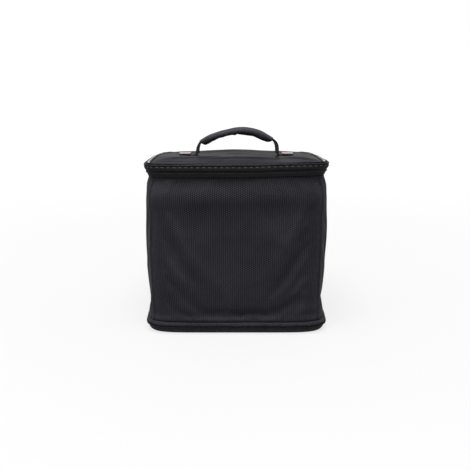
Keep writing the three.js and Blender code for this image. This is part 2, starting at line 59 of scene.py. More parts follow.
# The solids' own sizes, in metres
CASE_WIDTH = 0.336
CASE_DEPTH = 0.308
RIM_HEIGHT = 0.306
GIRTH = 2 * (CASE_WIDTH + CASE_DEPTH)
CORNER_POWER = 8
GAP = 0.0003
FLOOR_THICKNESS = 0.013
FLOOR_ROLL = 0.009
BAND_BASE = 0.0133
BAND_TOP = 0.0213
BAND_FLARE = 0.0012
BAND_CREASE = 0.0012
WALL_BASE = 0.0216
WALL_TOP = 0.2856
WALL_HEIGHT = WALL_TOP - WALL_BASE
WAIST_INSET = 0.008
SIDE_BULGE = 0.005
FRONT_BULGE = 0.0065
LOWER_TAPE = (0.2859, 0.2939)
COIL = (0.2942, 0.2974)
UPPER_TAPE = (0.2977, 0.3057)
TAPE_TOP_INSET = 0.001
ZIP_SLANT = 1.6
TAPE_THICKNESS = 0.0016
HINGE_HALF = 0.118
SLIDER_BACK = 0.092
LID_RISE = 0.0095
CORNER_LIFT = 0.003
CORNER_SAG = 0.003
CORNER_FADE = 0.45
HANDLE_BACK = 0.010
HANDLE_SPAN = 0.160
HANDLE_RISE = 0.046
STRAP_WIDTH = 0.030
STRAP_THICKNESS = 0.004
FOOT_THICKNESS = 0.002
GRIP_LENGTH = 0.141
GRIP_WIDTH = 0.038
GRIP_THICKNESS = 0.014
SEAM_ANGLE = 0.7302         # front corner seams, from the sides' middle, in radians
TRIM_LENGTH = 0.250
TRIM_WIDTH = 0.009
TRIM_INSET = 0.004

# Wall from floor to waist: share of its height, then bulges of side, front and back
WALL_FORM = [
    (0.00, 0.80, 0.86, 0.80), (0.03, 0.98, 1.02, 0.95), (0.06, 0.80, 0.86, 0.80), (0.12, 0.64, 0.70, 0.62),
    (0.22, 0.84, 0.78, 0.68), (0.34, 1.06, 0.88, 0.80), (0.47, 1.16, 0.96, 0.88), (0.60, 1.18, 1.00, 0.92),
    (0.72, 1.16, 1.00, 0.92), (0.82, 1.04, 0.88, 0.82), (0.90, 0.78, 0.60, 0.58), (0.96, 0.28, 0.26, 0.26),
    (1.00, 0.00, 0.00, 0.00),
]

# Soft folds of the wall: turn, share of height, tilt in degrees, length, width, depth
FOLDS = [
    (0.644, 0.42, -52, 0.15, 0.060, 0.9), (0.690, 0.80, -8, 0.24, 0.080, 0.6),
    (0.838, 0.70, 28, 0.18, 0.060, 0.9), (0.642, 0.12, 34, 0.14, 0.050, -0.8),
    (0.838, 0.11, 12, 0.20, 0.050, -0.7), (0.985, 0.45, 70, 0.22, 0.080, -0.8),
    (0.515, 0.55, -65, 0.22, 0.080, -0.8), (0.235, 0.50, 15, 0.30, 0.090, -0.9),
]

# Relief of the padded wall: share of its height, push of front and back and of the sides in millimetres
WALL_RELIEF = [
    (0.000, 0.4, 0.1), (0.010, 1.7, 0.4), (0.026, -1.2, -0.2), (0.038, -2.0, -0.3), (0.055, -1.0, -0.1),
    (0.085, 0.9, 0.1), (0.110, 1.4, 0.2), (0.170, 0.8, 0.1), (0.280, 0.0, 0.0), (0.600, -0.3, 0.0),
    (0.720, -1.5, -1.0), (0.790, 0.0, -2.2), (0.845, 3.2, -3.0), (0.885, 4.2, -3.2), (0.925, 2.6, -0.4),
    (0.950, 0.6, 2.2), (0.965, -0.8, 1.9), (0.980, -1.5, 0.3), (1.000, -1.8, 0.1),
]
LEAN = 1.7            # millimetres that the wall leans to the left
LEAN_HEIGHT = 0.36    # share of its height where it leans most
LEAN_SPREAD = 0.26

# Lid from its middle to its lower edge: share of the outline, share of the rise
LID_PROFILE = [
    (0.000, 0.60), (0.120, 0.60), (0.280, 0.62), (0.450, 0.68), (0.600, 0.82), (0.690, 0.96), (0.750, 1.00),
    (0.820, 0.86), (0.890, 0.66), (0.950, 0.50), (0.985, 0.38), (0.998, 0.26), (1.000, 0.12), (0.995, 0.00),
]

# Dents of the lid: place across and back and spread as shares of its halves, height in millimetres
LID_DENTS = [
    (-0.60, 0.06, 0.20, -1.68), (0.60, 0.06, 0.20, -1.68), (0.17, -0.38, 0.15, -1.40),
    (0.52, -0.42, 0.13, 1.12), (-0.34, -0.40, 0.17, -0.84), (-0.20, 0.55, 0.20, -1.12),
]

# Wrinkles of the lid: place across and back in metres, tilt in degrees, length, width, height in millimetres
LID_WRINKLES = [
    (-0.030, -0.058, -3, 0.085, 0.0320, 4.6), (-0.100, -0.078, 20, 0.050, 0.0090, 2.8),
    (-0.020, -0.034, -3, 0.050, 0.0130, 1.6), (0.046, -0.092, 8, 0.030, 0.0150, -4.2),
    (0.112, -0.084, -18, 0.036, 0.0120, 3.6), (0.028, -0.064, 14, 0.045, 0.0070, 2.0),
    (-0.120, -0.122, -8, 0.034, 0.0090, -1.4), (-0.141, 0.070, 60, 0.013, 0.0090, 3.2),
    (0.141, 0.074, -60, 0.013, 0.0090, 2.8), (0.134, -0.126, -14, 0.030, 0.0050, 1.2),
    (0.126, -0.108, -28, 0.024, 0.0060, -1.2), (0.070, 0.088, -12, 0.045, 0.0130, 2.0),
    (-0.055, 0.098, 16, 0.050, 0.0130, 1.9), (0.000, 0.048, 4, 0.050, 0.0140, -1.6),
    (-0.012, -0.100, 2, 0.058, 0.0110, -2.0), (-0.060, -0.004, 30, 0.030, 0.0070, 1.2),
    (0.075, -0.030, -35, 0.030, 0.0080, 1.4),
]

# Webbing from foot to foot: shares of half the span and of the rise, and of the way to its full thickness
HANDLE_PATH = [
    (-1.400, 0.000, 0), (-1.230, 0.000, 0), (-1.070, 0.000, 0), (-0.979, 0.028, 0.5),
    (-0.957, 0.124, 1), (-0.945, 0.269, 1), (-0.921, 0.406, 1), (-0.872, 0.547, 1),
    (-0.794, 0.631, 1), (-0.693, 0.702, 1), (-0.487, 0.808, 1), (-0.296, 0.893, 1),
    (-0.037, 0.994, 1), (0.125, 1.019, 1), (0.383, 0.982, 1), (0.481, 0.940, 1),
    (0.630, 0.850, 1), (0.790, 0.747, 1), (0.871, 0.675, 1), (0.951, 0.559, 1),
    (0.990, 0.433, 1), (1.005, 0.283, 1), (1.010, 0.141, 1), (1.025, 0.032, 0.5),
    (1.110, 0.000, 0), (1.240, 0.000, 0), (1.400, 0.000, 0),
]

# Grip along its length: shares of its thickness above and below the webbing
GRIP_FORM = [
    (0.00, 0.25, 0.34), (0.03, 0.27, 0.66), (0.08, 0.31, 0.76), (0.15, 0.40, 0.66), (0.24, 0.48, 0.48),
    (0.34, 0.50, 0.44), (0.42, 0.50, 0.40), (0.47, 0.50, 0.54), (0.52, 0.50, 0.42), (0.62, 0.50, 0.48),
    (0.74, 0.50, 0.60), (0.84, 0.46, 0.72), (0.92, 0.33, 0.72), (0.97, 0.27, 0.60), (1.00, 0.25, 0.34),
]

# One quarter of the doubled webbing's section: shares of its half width and half thickness
STRAP_SECTION = [
    (0.0, 1.0), (0.45, 1.0), (0.80, 1.0), (0.94, 0.96), (0.99, 0.76), (1.0, 0.52), (0.985, 0.28), (0.945, 0.0),
]

# Floor panel from the middle of its underside round its rolled edge: share of the way, inset, height
FLOOR_SECTION = [
    (0.00, CASE_WIDTH / 2, 0.0), (0.50, 0.0170, 0.0), (0.58, FLOOR_ROLL, 0.0),
    (0.64, FLOOR_ROLL * 0.50, FLOOR_THICKNESS * 0.11), (0.70, FLOOR_ROLL * 0.18, FLOOR_THICKNESS * 0.36),
    (0.76, FLOOR_ROLL * 0.06, FLOOR_THICKNESS * 0.66), (0.81, -0.0002, FLOOR_THICKNESS * 0.88),
    (0.85, BAND_CREASE - BAND_FLARE, FLOOR_THICKNESS), (0.90, 0.0060, FLOOR_THICKNESS),
    (1.00, CASE_WIDTH / 2, FLOOR_THICKNESS),
]

# Band above the floor, round its section: share of the way, inset, share of its height
BAND_SECTION = [
    (0.00, 0.0005, 0.02), (0.10, -0.0009, 0.16), (0.25, -0.0014, 0.42), (0.38, -0.0013, 0.66),
    (0.50, -0.0008, 0.88), (0.56, 0.0005, 1.00), (0.70, 0.0050, 1.00), (0.86, 0.0050, 0.00),
    (1.00, 0.0005, 0.02),
]

# Strip on the lid, across it: share of its width, share of its height, or a depth in metres below the lid's face
STRIP_SECTION = [
    (0.0, -0.0003), (0.0, 0.5), (0.04, 0.85), (0.12, 1.0), (0.35, 1.0), (0.5, 1.0), (0.65, 1.0),
    (0.88, 1.0), (0.96, 0.85), (1.0, 0.5), (1.0, -0.0003),
]

# The two layers of each strip: title, finish, start and width as shares of the strip, height, waviness
STRIP_LAYERS = [
    # The light layer's colour is a painted sheen of the lid's side band
    ("light_strip", "light_trim", 0.30, 0.40, 0.0012, 2),
    ("strip_border", "strip_border", 0.0, 1.0, 0.0009, 0),
]

# Lamps: name, place, size in metres, power in watts
LAMPS = [
    ("overhead", (-0.1, -0.62, 2.3), 1.1, 52.0),
    ("left_front", (-1.9, -1.4, 1.2), 0.8, 4.0),
]
LAMP_AIM = Vector((0.0, 0.0, 0.2))

# The photo's camera: place, tilt below the level in degrees, focal length and width of the picture in pixels
CAMERA_PLACE = (-0.0025, -1.188, 0.413)
CAMERA_TILT = 12.4
FOCAL_PIXELS = 600
PICTURE_PIXELS = 470
SENSOR = 36

CLOTH_THICKNESS = 0.005
TOOTH_SIZE = (0.00105, 0.0019, 0.0013)
SLIDER_SIZE = (0.0034, 0.0098, 0.0112)
BRIDGE_SIZE = (0.0024, 0.0030, 0.0080)
PULL_HALF_WIDTH = 0.0030
PULL_HALF_LENGTH = 0.0125
PULL_HOLE_LENGTH = 0.0165  # half the hole's length, drawn in by the width of the ring
SEWN_HEIGHT = 0.3041       # light stitches on the upper tape
TUCKED_HEIGHT = 0.2872     # dark stitches on the lower tape
HEM_ROWS = ((-0.0003, 0.0231), (0.0002, 0.0117))   # inset and height of the dark rows at the base
FOOT_PLACE = 0.086         # middle of a webbing foot, and how far from it the lid lies flat
FOOT_HALF = 0.030
STRIP_INNER = 0.152        # from here outwards the lid lies flat under its strips
STRIP_SEAM = 0.1545
ROLL_HEIGHT = 0.0014       # roll and groove round the lid, at these shares of its outline
ROLL_REACH = 0.974
GROOVE_REACH = 0.935
ROLL_SPREAD = 0.014
SETTLING_CAP = 0.0026      # farthest that the cloth simulation may move a point
CORNER_REACH = 0.228       # from the case's middle line to a front corner seam


# ---- Sizes and colours -------------------------------------------------------

def length_setting(name, text, value):
    return FloatProperty(name=name, description=text, default=value, unit="LENGTH")


def colour_setting(name, value):
    text = "Colour: " + name.lower()
    return FloatVectorProperty(name=name, description=text, default=value, subtype="COLOR")


class HelmetCaseSizes(PropertyGroup):
    """Sizes a user may change."""
    thread: length_setting("Thread", "Width of one rib of the body cloth", 0.0038)
    fold_depth: length_setting("Fold depth", "Depth of the wall's soft folds", 0.0022)
    pucker: length_setting("Pucker", "Depth of the small puckers along the seams", 0.0005)
    stitch_length: length_setting("Stitch length", "Length of one visible stitch", 0.0062)
    stitch_pitch: length_setting("Stitch pitch", "Distance from stitch to stitch", 0.0102)
    tooth_pitch: length_setting("Tooth pitch", "Distance from tooth to tooth of the zip", 0.0017)
    floor_radius: length_setting("Floor radius", "Radius of the studio floor", 14.0)
    padding: FloatProperty(
        name="Padding pressure", description="Pressure that swells the padded wall", default=0.9, min=0.0)
    wall_columns: IntProperty(
        name="Wall columns", description="Faces round the wall before it is smoothed", default=224, min=64)


class HelmetCaseColours(PropertyGroup):
    """Colours of the finishes."""
    cloth: colour_setting("Body cloth", (0.0440, 0.0425, 0.0530))
    # Darker than the body cloth: painted shade against the stronger light and reflection on the lid
    lid_cloth: colour_setting("Lid cloth", (0.0245, 0.0238, 0.0290))
    tape: colour_setting("Zip tape", (0.0340, 0.0340, 0.0350))
    teeth: colour_setting("Teeth and slider", (0.0080, 0.0080, 0.0085))
    webbing: colour_setting("Webbing and sleeve", (0.0420, 0.0405, 0.0480))
    thread: colour_setting("Sewing thread", (0.1500, 0.1500, 0.1560))
    # Light colour of the strips: painted sheen
    trim: colour_setting("Light strips", (0.30, 0.30, 0.29))
    patch: colour_setting("Patches on the webbing's feet", (0.30, 0.29, 0.29))
    patch_edge: colour_setting("Rear edge of each patch", (0.50, 0.06, 0.08))


def sizes():
    return bpy.context.scene.helmet_case_sizes


def colours():
    return bpy.context.scene.helmet_case_colours


# ---- The form ----------------------------------------------------------------

def smooth_read(table, place, column=1):
    """Value of a table's column at a place, on a smooth line through its rows."""
    last = len(table) - 1
    if place <= table[0][0]:
        return table[0][column]
    if place >= table[last][0]:
        return table[last][column]
    upper = next(row for row in range(1, last + 1) if table[row][0] >= place)
    lower = upper - 1
    width = table[upper][0] - table[lower][0]

    def slope(row):
        before, after = table[max(row - 1, 0)], table[min(row + 1, last)]
        return (after[column] - before[column]) / (after[0] - before[0])

    share = (place - table[lower][0]) / width
    start, end = table[lower][column], table[upper][column]
    rise = 3 * share ** 2 - 2 * share ** 3
    return (start + (end - start) * rise
            + width * slope(lower) * (share ** 3 - 2 * share ** 2 + share)
            + width * slope(upper) * (share ** 3 - share ** 2))


def bump(distance, width):
    """1 at no distance, fading out softly over about this width."""
    return math.exp(-(distance / width) ** 2)


def waver(x, y, z):
    """Smooth noise between about -1 and 1."""
    return noise.noise(Vector((x, y, z)))


def outward_at(angle, rise=0.0):
    return Vector((math.cos(angle), math.sin(angle), rise))


def turn_of(point):
    return math.atan2(point.y, point.x) % TURN


def turned(across, along, tilt):
    """A place in the axes of something tilted by this many degrees."""
    lean = math.radians(tilt)
    return across * math.cos(lean) + along * math.sin(lean), along * math.cos(lean) - across * math.sin(lean)


def outline_reach(angle, half_width, front, back):
    depth = front if math.sin(angle) < 0 else back
    across = abs(math.cos(angle) / half_width) ** CORNER_POWER
    along = abs(math.sin(angle) / depth) ** CORNER_POWER
    return (across + along) ** (-1 / CORNER_POWER)


def rim_point(angle, inset, z):
    reach = outline_reach(angle, CASE_WIDTH / 2 - inset, CASE_DEPTH / 2 - inset, CASE_DEPTH / 2 - inset)
    return Vector((math.cos(angle) * reach, math.sin(angle) * reach, z))


def walk_angle(share):
    """Angle reached after a share of the way round, from the middle of the back through the left side."""
    way = (share % 1.0) * GIRTH
    half, deep = CASE_WIDTH / 2, CASE_DEPTH / 2
    if way < half:
        return math.atan2(deep, -way)
    way -= half
    if way < CASE_DEPTH:
        return math.atan2(deep - way, -half) % TURN
    way -= CASE_DEPTH
    if way < CASE_WIDTH:
        return math.atan2(-deep, way - half) % TURN
    way -= CASE_WIDTH
    if way < CASE_DEPTH:
        return math.atan2(way - deep, half) % TURN
    way -= CASE_DEPTH
    return math.atan2(deep, half - way) % TURN


def corner_share(angle):
    return math.sin(2 * angle) ** 2


def rim_sway(angle):
    """How much the rim stands proud or hangs at the corners."""
    if math.sin(angle) > 0:
        return -CORNER_SAG * corner_share(angle)
    return CORNER_LIFT * corner_share(angle) if math.cos(angle) > 0 else 0.0


def fold_push(angle, up):
    """Soft folds of the wall at a turn and a share of its height."""
    turn = (angle / TURN) % 1.0
    push = 0.0
    for fold_turn, fold_up, tilt, length, width, depth in FOLDS:
        apart = turn - fold_turn
        across = (apart - round(apart)) * GIRTH
        lengthwise, crosswise = turned(across, (up - fold_up) * WALL_HEIGHT, tilt)
        fade = (lengthwise / (length * CASE_WIDTH)) ** 2 + (crosswise / (width * CASE_WIDTH)) ** 2
        push += depth * math.exp(-fade)
    return push * sizes().fold_depth


def wall_point(angle, up):
    """Point of the wall's outer face before it is padded."""
    half = CASE_WIDTH / 2 - WAIST_INSET + SIDE_BULGE * smooth_read(WALL_FORM, up, 1)
    front = CASE_DEPTH / 2 - WAIST_INSET + FRONT_BULGE * smooth_read(WALL_FORM, up, 2)
    back = CASE_DEPTH / 2 - WAIST_INSET + FRONT_BULGE * smooth_read(WALL_FORM, up, 3)
    push = fold_push(angle, up) * math.sin(math.pi * min(max(up, 0.0), 1.0)) ** 0.5
    reach = outline_reach(angle, half, front, back) + push
    z = WALL_BASE + WALL_HEIGHT * up + rim_sway(angle) * max(up, 0.0) ** 6
    return Vector((math.cos(angle) * reach, math.sin(angle) * reach, z))


def padding_push(angle, up):
    """Relief of the padded wall, turning from its front and back to its sides, with its lean."""
    share = min(1.0, abs(math.sin(angle)) / 0.70) ** 5
    lean = -LEAN * math.cos(angle) * bump(abs(up - LEAN_HEIGHT), LEAN_SPREAD)
    return MM * (smooth_read(WALL_RELIEF, up, 1) * share + smooth_read(WALL_RELIEF, up, 2) * (1 - share) + lean)


def wrinkle_height(x, y):
    """Soft wrinkles of the lid, faded out under the strips and the webbing's feet."""
    rise = 0.0
    for across, back, tilt, length, width, height in LID_WRINKLES:
        lengthwise, crosswise = turned(x - across, y - back, tilt)
        rise += height * math.exp(-(lengthwise / length) ** 2 - (crosswise / width) ** 2)
    strip = 1 - bump(max(0.0, STRIP_INNER - abs(x)), 0.003)
    foot = bump(max(0.0, abs(abs(x) - FOOT_PLACE) - FOOT_HALF), 0.006)
    foot *= bump(max(0.0, abs(y - HANDLE_BACK) - 0.017), 0.006)
    return MM * rise * strip * (1 - foot)


def stack_inset(z):
    """How far the zip's face lies behind the lid's rim line."""
    share = (UPPER_TAPE[1] - z) / (UPPER_TAPE[1] - LOWER_TAPE[0])
    return TAPE_TOP_INSET + (WAIST_INSET - GAP - TAPE_TOP_INSET) * max(share, 0.0) ** ZIP_SLANT


def stack_point(angle, z, recess=0.0):
    """Point on the slanting face of the zip."""
    return rim_point(angle, stack_inset(z) + recess, z + rim_sway(angle))


def dent_push(x, y):
    """Broad dents of the lid, placed by shares of its half width and half depth."""
    x, y = x / (CASE_WIDTH / 2), y / (CASE_DEPTH / 2)
    return MM * sum(depth * math.exp(-((x - across) / spread) ** 2 - ((y - back) / spread) ** 2)
                    for across, back, spread, depth in LID_DENTS)


def lid_height(angle, reach, up):
    """Height of the lid's face at a share of the outline and of the rise."""
    rim = rim_point(angle, 0, 0) * reach
    rise = LID_RISE * up * (1 - CORNER_FADE * corner_share(angle) * reach ** 2)
    return RIM_HEIGHT + rise + rim_sway(angle) * reach ** 4 + dent_push(rim.x, rim.y) * up


def lid_top(x, y):
    angle = math.atan2(y, x)
    reach = math.hypot(x, y) / rim_point(angle, 0, 0).length
    return lid_height(angle, reach, smooth_read(LID_PROFILE[:-1], reach))


def lid_line():
    """The lid's profile against the share of its length: reach, up."""
    lengths = [0.0]
    for (reach, up), (next_reach, next_up) in zip(LID_PROFILE, LID_PROFILE[1:]):
        lengths.append(lengths[-1] + math.hypot((next_reach - reach) * CASE_WIDTH / 2, (next_up - up) * LID_RISE))
    return [(length / lengths[-1], reach, up) for length, (reach, up) in zip(lengths, LID_PROFILE)]


LID_LINE = lid_line()


def strap_base(x):
    """Height of the webbing's middle line where it rests, carried on straight between the legs."""
    leg = HANDLE_SPAN / 2

    def rest(place):
        tops = [lid_top(place, HANDLE_BACK + share * STRAP_WIDTH / 2) for share in (-1, -0.5, 0, 0.5, 1)]
        return max(tops) + GAP + FOOT_THICKNESS / 2

    if abs(x) >= leg:
        return rest(x)
    share = (x / leg + 1) / 2
    return rest(-leg) * (1 - share) + rest(leg) * share


def smooth_through(points, steps):
    """Points on a smooth line through the given ones."""
    ends = [points[0] * 2 - points[1]] + points + [points[-1] * 2 - points[-2]]
    line = []
    for index in range(1, len(ends) - 2):
        before, start, end, after = ends[index - 1:index + 3]
        first, middle, last = ((b - a).length ** 0.5 for a, b in ((before, start), (start, end), (end, after)))
        leave = ((start - before) / first - (end - before) / (first + middle) + (end - start) / middle) * middle
        arrive = ((end - start) / middle - (after - start) / (middle + last) + (after - end) / last) * middle
        for step in range(steps):
            share = step / steps
            rise = 3 * share ** 2 - 2 * share ** 3
            line.append(start + (end - start) * rise
                        + leave * (share ** 3 - 2 * share ** 2 + share) + arrive * (share ** 3 - share ** 2))
    return line + [points[-1]]


class Route:
    """A line measured by its length."""

    def __init__(self, points):
        self.points = points
        self.lengths = [0.0]
        for start, end in zip(points, points[1:]):
            self.lengths.append(self.lengths[-1] + (end - start).length)
        self.length = self.lengths[-1]

    def at(self, distance):
        distance = min(max(distance, 0.0), self.length)
        index = next(i for i in range(1, len(self.lengths)) if self.lengths[i] >= distance - 1e-12)
        span = self.lengths[index] - self.lengths[index - 1] or 1.0
        share = (distance - self.lengths[index - 1]) / span
        return self.points[index - 1].lerp(self.points[index], share)

    def along(self, distance, reach=0.0008):
        return (self.at(distance + reach) - self.at(distance - reach)).normalized()

    def where(self, x):
        return next(length for point, length in zip(self.points, self.lengths) if point.x >= x)


def strap_route():
    """The webbing's middle line, kept clear of the lid."""
    places = []
    for across, up, _ in HANDLE_PATH:
        x = across * HANDLE_SPAN / 2
        places.append(Vector((x, HANDLE_BACK, strap_base(x) + up * HANDLE_RISE)))
    return Route([Vector((p.x, p.y, max(p.z, strap_base(p.x)))) for p in smooth_through(places, 10)])


def strap_half(x):
    """Half the webbing's thickness at a place across the lid."""
    rows = [(across * HANDLE_SPAN / 2, full) for across, _, full in HANDLE_PATH]
    return (FOOT_THICKNESS + (STRAP_THICKNESS - FOOT_THICKNESS) * smooth_read(rows, x)) / 2


# ---- Mesh helpers --------------------------------------------------------------

def mapped_grid(columns, rows, place, chart):
    """A grid bent to a surface: place and chart take shares along its columns and its rows."""
    bm = bmesh.new()
    bmesh.ops.create_grid(bm, x_segments=columns, y_segments=rows, size=0.5)
    uv = bm.loops.layers.uv.new("cloth")
    for face in bm.faces:
        for loop in face.loops:
            loop[uv].uv = chart(loop.vert.co.x + 0.5, loop.vert.co.y + 0.5)
    for vert in bm.verts:
        vert.co = place(vert.co.x + 0.5, vert.co.y + 0.5)
    bmesh.ops.remove_doubles(bm, verts=bm.verts, dist=2e-6)
    return bm


def close_ends(bm):
    bmesh.ops.holes_fill(bm, edges=[edge for edge in bm.edges if edge.is_boundary], sides=0)


def bevelled(bm, edges, offset, segments):
    bmesh.ops.bevel(bm, geom=edges, offset=offset, offset_type="OFFSET", segments=segments, profile=0.5,
                    affect="EDGES", material=-1)


def face_outwards(bm):
    """Turns the faces outwards, also on an open sheet."""
    bmesh.ops.recalc_face_normals(bm, faces=bm.faces)
    middle = sum((vert.co for vert in bm.verts), Vector()) / len(bm.verts)
    facing = sum(face.normal.dot(face.calc_center_median() - middle) * face.calc_area() for face in bm.faces)
    if facing < 0:
        bmesh.ops.reverse_faces(bm, faces=bm.faces)


def make_piece(bm, name, look, nodes=(), wear=None):
    """A mesh with its finish, riding on the frame, with its share of rubbing and of painted highlight at each
    point.
    """
    face_outwards(bm)
    mesh = bpy.data.meshes.new(name)
    bm.to_mesh(mesh)
    bm.free()
    mesh.polygons.foreach_set("use_smooth", [True] * len(mesh.polygons))
    if wear is not None:
        layer = mesh.attributes.new("wear", "FLOAT", "POINT")
        layer.data.foreach_set("value", [wear(vert.co) for vert in mesh.vertices])
    mesh.materials.append(finish(look))
    piece = bpy.data.objects.new(name, mesh)
    bpy.context.scene.collection.objects.link(piece)
    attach(piece, "root")
    if nodes:
        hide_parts(*nodes)
    return piece


def smoothed(piece):
    modifier = piece.modifiers.new("smooth", "SUBSURF")
    modifier.levels = modifier.render_levels = 1


def thickened(piece):
    """Gives a sheet the cloth's thickness, inwards."""
    modifier = piece.modifiers.new("thickness", "SOLIDIFY")
    modifier.thickness = CLOTH_THICKNESS
    modifier.offset = -1.0


def turned_to(place, along, outward):
    """Placing matrix with X along a line and Z pointing outwards."""
    along = along.normalized()
    aside = outward.cross(along).normalized()
    up = along.cross(aside).normalized()
    matrix = Matrix((along, aside, up)).transposed().to_4x4()
    matrix.translation = place
    return matrix


def sew(bm, points, normals, length, pitch, width, height):
    """Stitches along a line of points, lying on a surface with these normals."""
    route = Route(points)
    count = int(route.length / pitch)
    for index in range(count):
        distance = (index + 0.5) * route.length / count
        step = next(i for i in range(1, len(route.lengths)) if route.lengths[i] >= distance - 1e-12)
        matrix = turned_to(route.at(distance), route.along(distance), normals[step])
        matrix = matrix @ Matrix.Diagonal((length / 2, width / 2, height / 2, 1.0))
        bmesh.ops.create_icosphere(bm, subdivisions=1, radius=1.0, matrix=matrix)


# ---- Materials -----------------------------------------------------------------

class Wiring:
    """Adds nodes to a tree and joins them."""

    def __init__(self, tree):
        self.tree = tree

    def feed(self, socket, value):
        if isinstance(value, bpy.types.NodeSocket):
            self.tree.links.new(value, socket)
        else:
            socket.default_value = value

    def fill(self, node, inputs):
        for key, value in inputs.items():
            self.feed(node.inputs[key], value)

    def add(self, kind, inputs=None, **settings):
        node = self.tree.nodes.new(kind)
        for key, value in settings.items():
            setattr(node, key, value)
        self.fill(node, inputs or {})
        return node

    def maths(self, operation, *values):
        node = self.add("ShaderNodeMath", operation=operation)
        for socket, value in zip(node.inputs, values):
            self.feed(socket, value)
        return node.outputs[0]

    def spread(self, value, low, high, to_low=0.0, to_high=1.0):
        node = self.add("ShaderNodeMapRange", {0: value, 1: low, 2: high, 3: to_low, 4: to_high})
        return node.outputs[0]

    def blend(self, factor, first, second, mode="MIX"):
        node = self.add("ShaderNodeMix", {0: factor, 6: first, 7: second}, data_type="RGBA", blend_type=mode)
        return node.outputs[2]

    def noise(self, vector, scale, detail=2.0, roughness=0.5):
        inputs = {"Vector": vector, "Scale": scale, "Detail": detail, "Roughness": roughness}
        return self.add("ShaderNodeTexNoise", inputs).outputs[0]

    def relief(self, strength, distance, height, **normal):
        inputs = {"Strength": strength, "Distance": distance, "Height": height, **normal}
        return self.add("ShaderNodeBump", inputs).outputs[0]


def new_group(name, inputs, outputs):
    tree = bpy.data.node_groups.new(name, "ShaderNodeTree")
    for label, kind, value in inputs:
        socket = tree.interface.new_socket(label, in_out="INPUT", socket_type="NodeSocket" + kind)
        if value is not None:
            socket.default_value = value
    for label, kind in outputs:
        tree.interface.new_socket(label, in_out="OUTPUT", socket_type="NodeSocket" + kind)
    wiring = Wiring(tree)
    return tree, wiring, wiring.add("NodeGroupInput").outputs, wiring.add("NodeGroupOutput").inputs


def woven_threads():
    """Plain weave on a cloth's own map in metres: height, mask of the warp on top, and its upright ribs."""
    if "woven_threads" in bpy.data.node_groups:
        return bpy.data.node_groups["woven_threads"]
    tree, wiring, given, result = new_group(
        "woven_threads",
        [("Vector", "Vector", None), ("Thread", "Float", 0.0017), ("Unevenness", "Float", 0.15)],
        [("Height", "Float"), ("Warp", "Float"), ("Rib", "Float")])
    per_metre = wiring.maths("DIVIDE", 1.0, given["Thread"])
    placed = wiring.add("ShaderNodeVectorMath", {0: given["Vector"], "Scale": per_metre}, operation="SCALE")
    placed = placed.outputs[0]
    drift = wiring.maths("SUBTRACT", wiring.noise(placed, 0.23, 2.0), 0.5)
    drift = wiring.maths("MULTIPLY", drift, given["Unevenness"])
    split = wiring.add("ShaderNodeSeparateXYZ", {0: placed}).outputs
    along = wiring.maths("SINE", wiring.maths("MULTIPLY", wiring.maths("ADD", split[0], drift), math.pi))
    across = wiring.maths("SINE", wiring.maths("MULTIPLY", wiring.maths("SUBTRACT", split[1], drift), math.pi))
    lift = wiring.maths("MULTIPLY", wiring.maths("MULTIPLY", across, wiring.maths("SIGN", along)), 0.5)
    dip = wiring.maths("MULTIPLY", wiring.maths("MULTIPLY", along, wiring.maths("SIGN", across)), -0.5)
    warp = wiring.maths("ADD", wiring.maths("MULTIPLY", wiring.maths("ABSOLUTE", along), 0.6), lift)
    weft = wiring.maths("ADD", wiring.maths("MULTIPLY", wiring.maths("ABSOLUTE", across), 0.6), dip)
    wiring.feed(result["Height"], wiring.maths("MAXIMUM", warp, weft))
    wiring.feed(result["Warp"], wiring.maths("GREATER_THAN", warp, weft))
    wiring.feed(result["Rib"], wiring.maths("ABSOLUTE", along))
    return tree


def handled_surface():
    """Broad unevenness, lint, and rubbed edges together with painted highlights, as a factor and two masks."""
    if "handled_surface" in bpy.data.node_groups:
        return bpy.data.node_groups["handled_surface"]
    tree, wiring, given, result = new_group(
        "handled_surface",
        [("Vector", "Vector", None), ("Wear", "Float", 0.0), ("Patch size", "Float", 14.0)],
        [("Patch", "Float"), ("Lint", "Float"), ("Rubbed", "Float")])
    patch = wiring.noise(given["Vector"], given["Patch size"], 4.0, 0.6)
    wiring.feed(result["Patch"], wiring.spread(patch, 0.3, 0.7))
    specks = wiring.noise(given["Vector"], 620.0, 1.0)
    wiring.feed(result["Lint"], wiring.spread(specks, 0.74, 0.82))
    grain = wiring.spread(wiring.noise(given["Vector"], 210.0, 3.0), 0.35, 0.65)
    wiring.feed(result["Rubbed"], wiring.maths("MULTIPLY", given["Wear"], grain))
    return tree


def new_material(name):
    material = bpy.data.materials.new(name)
    material.use_nodes = True
    wiring = Wiring(material.node_tree)
    shader = material.node_tree.nodes["Principled BSDF"]
    return material, wiring, shader


def shade(colour, factor):
    return tuple(min(1.0, channel * factor) for channel in colour[:3]) + (1.0,)


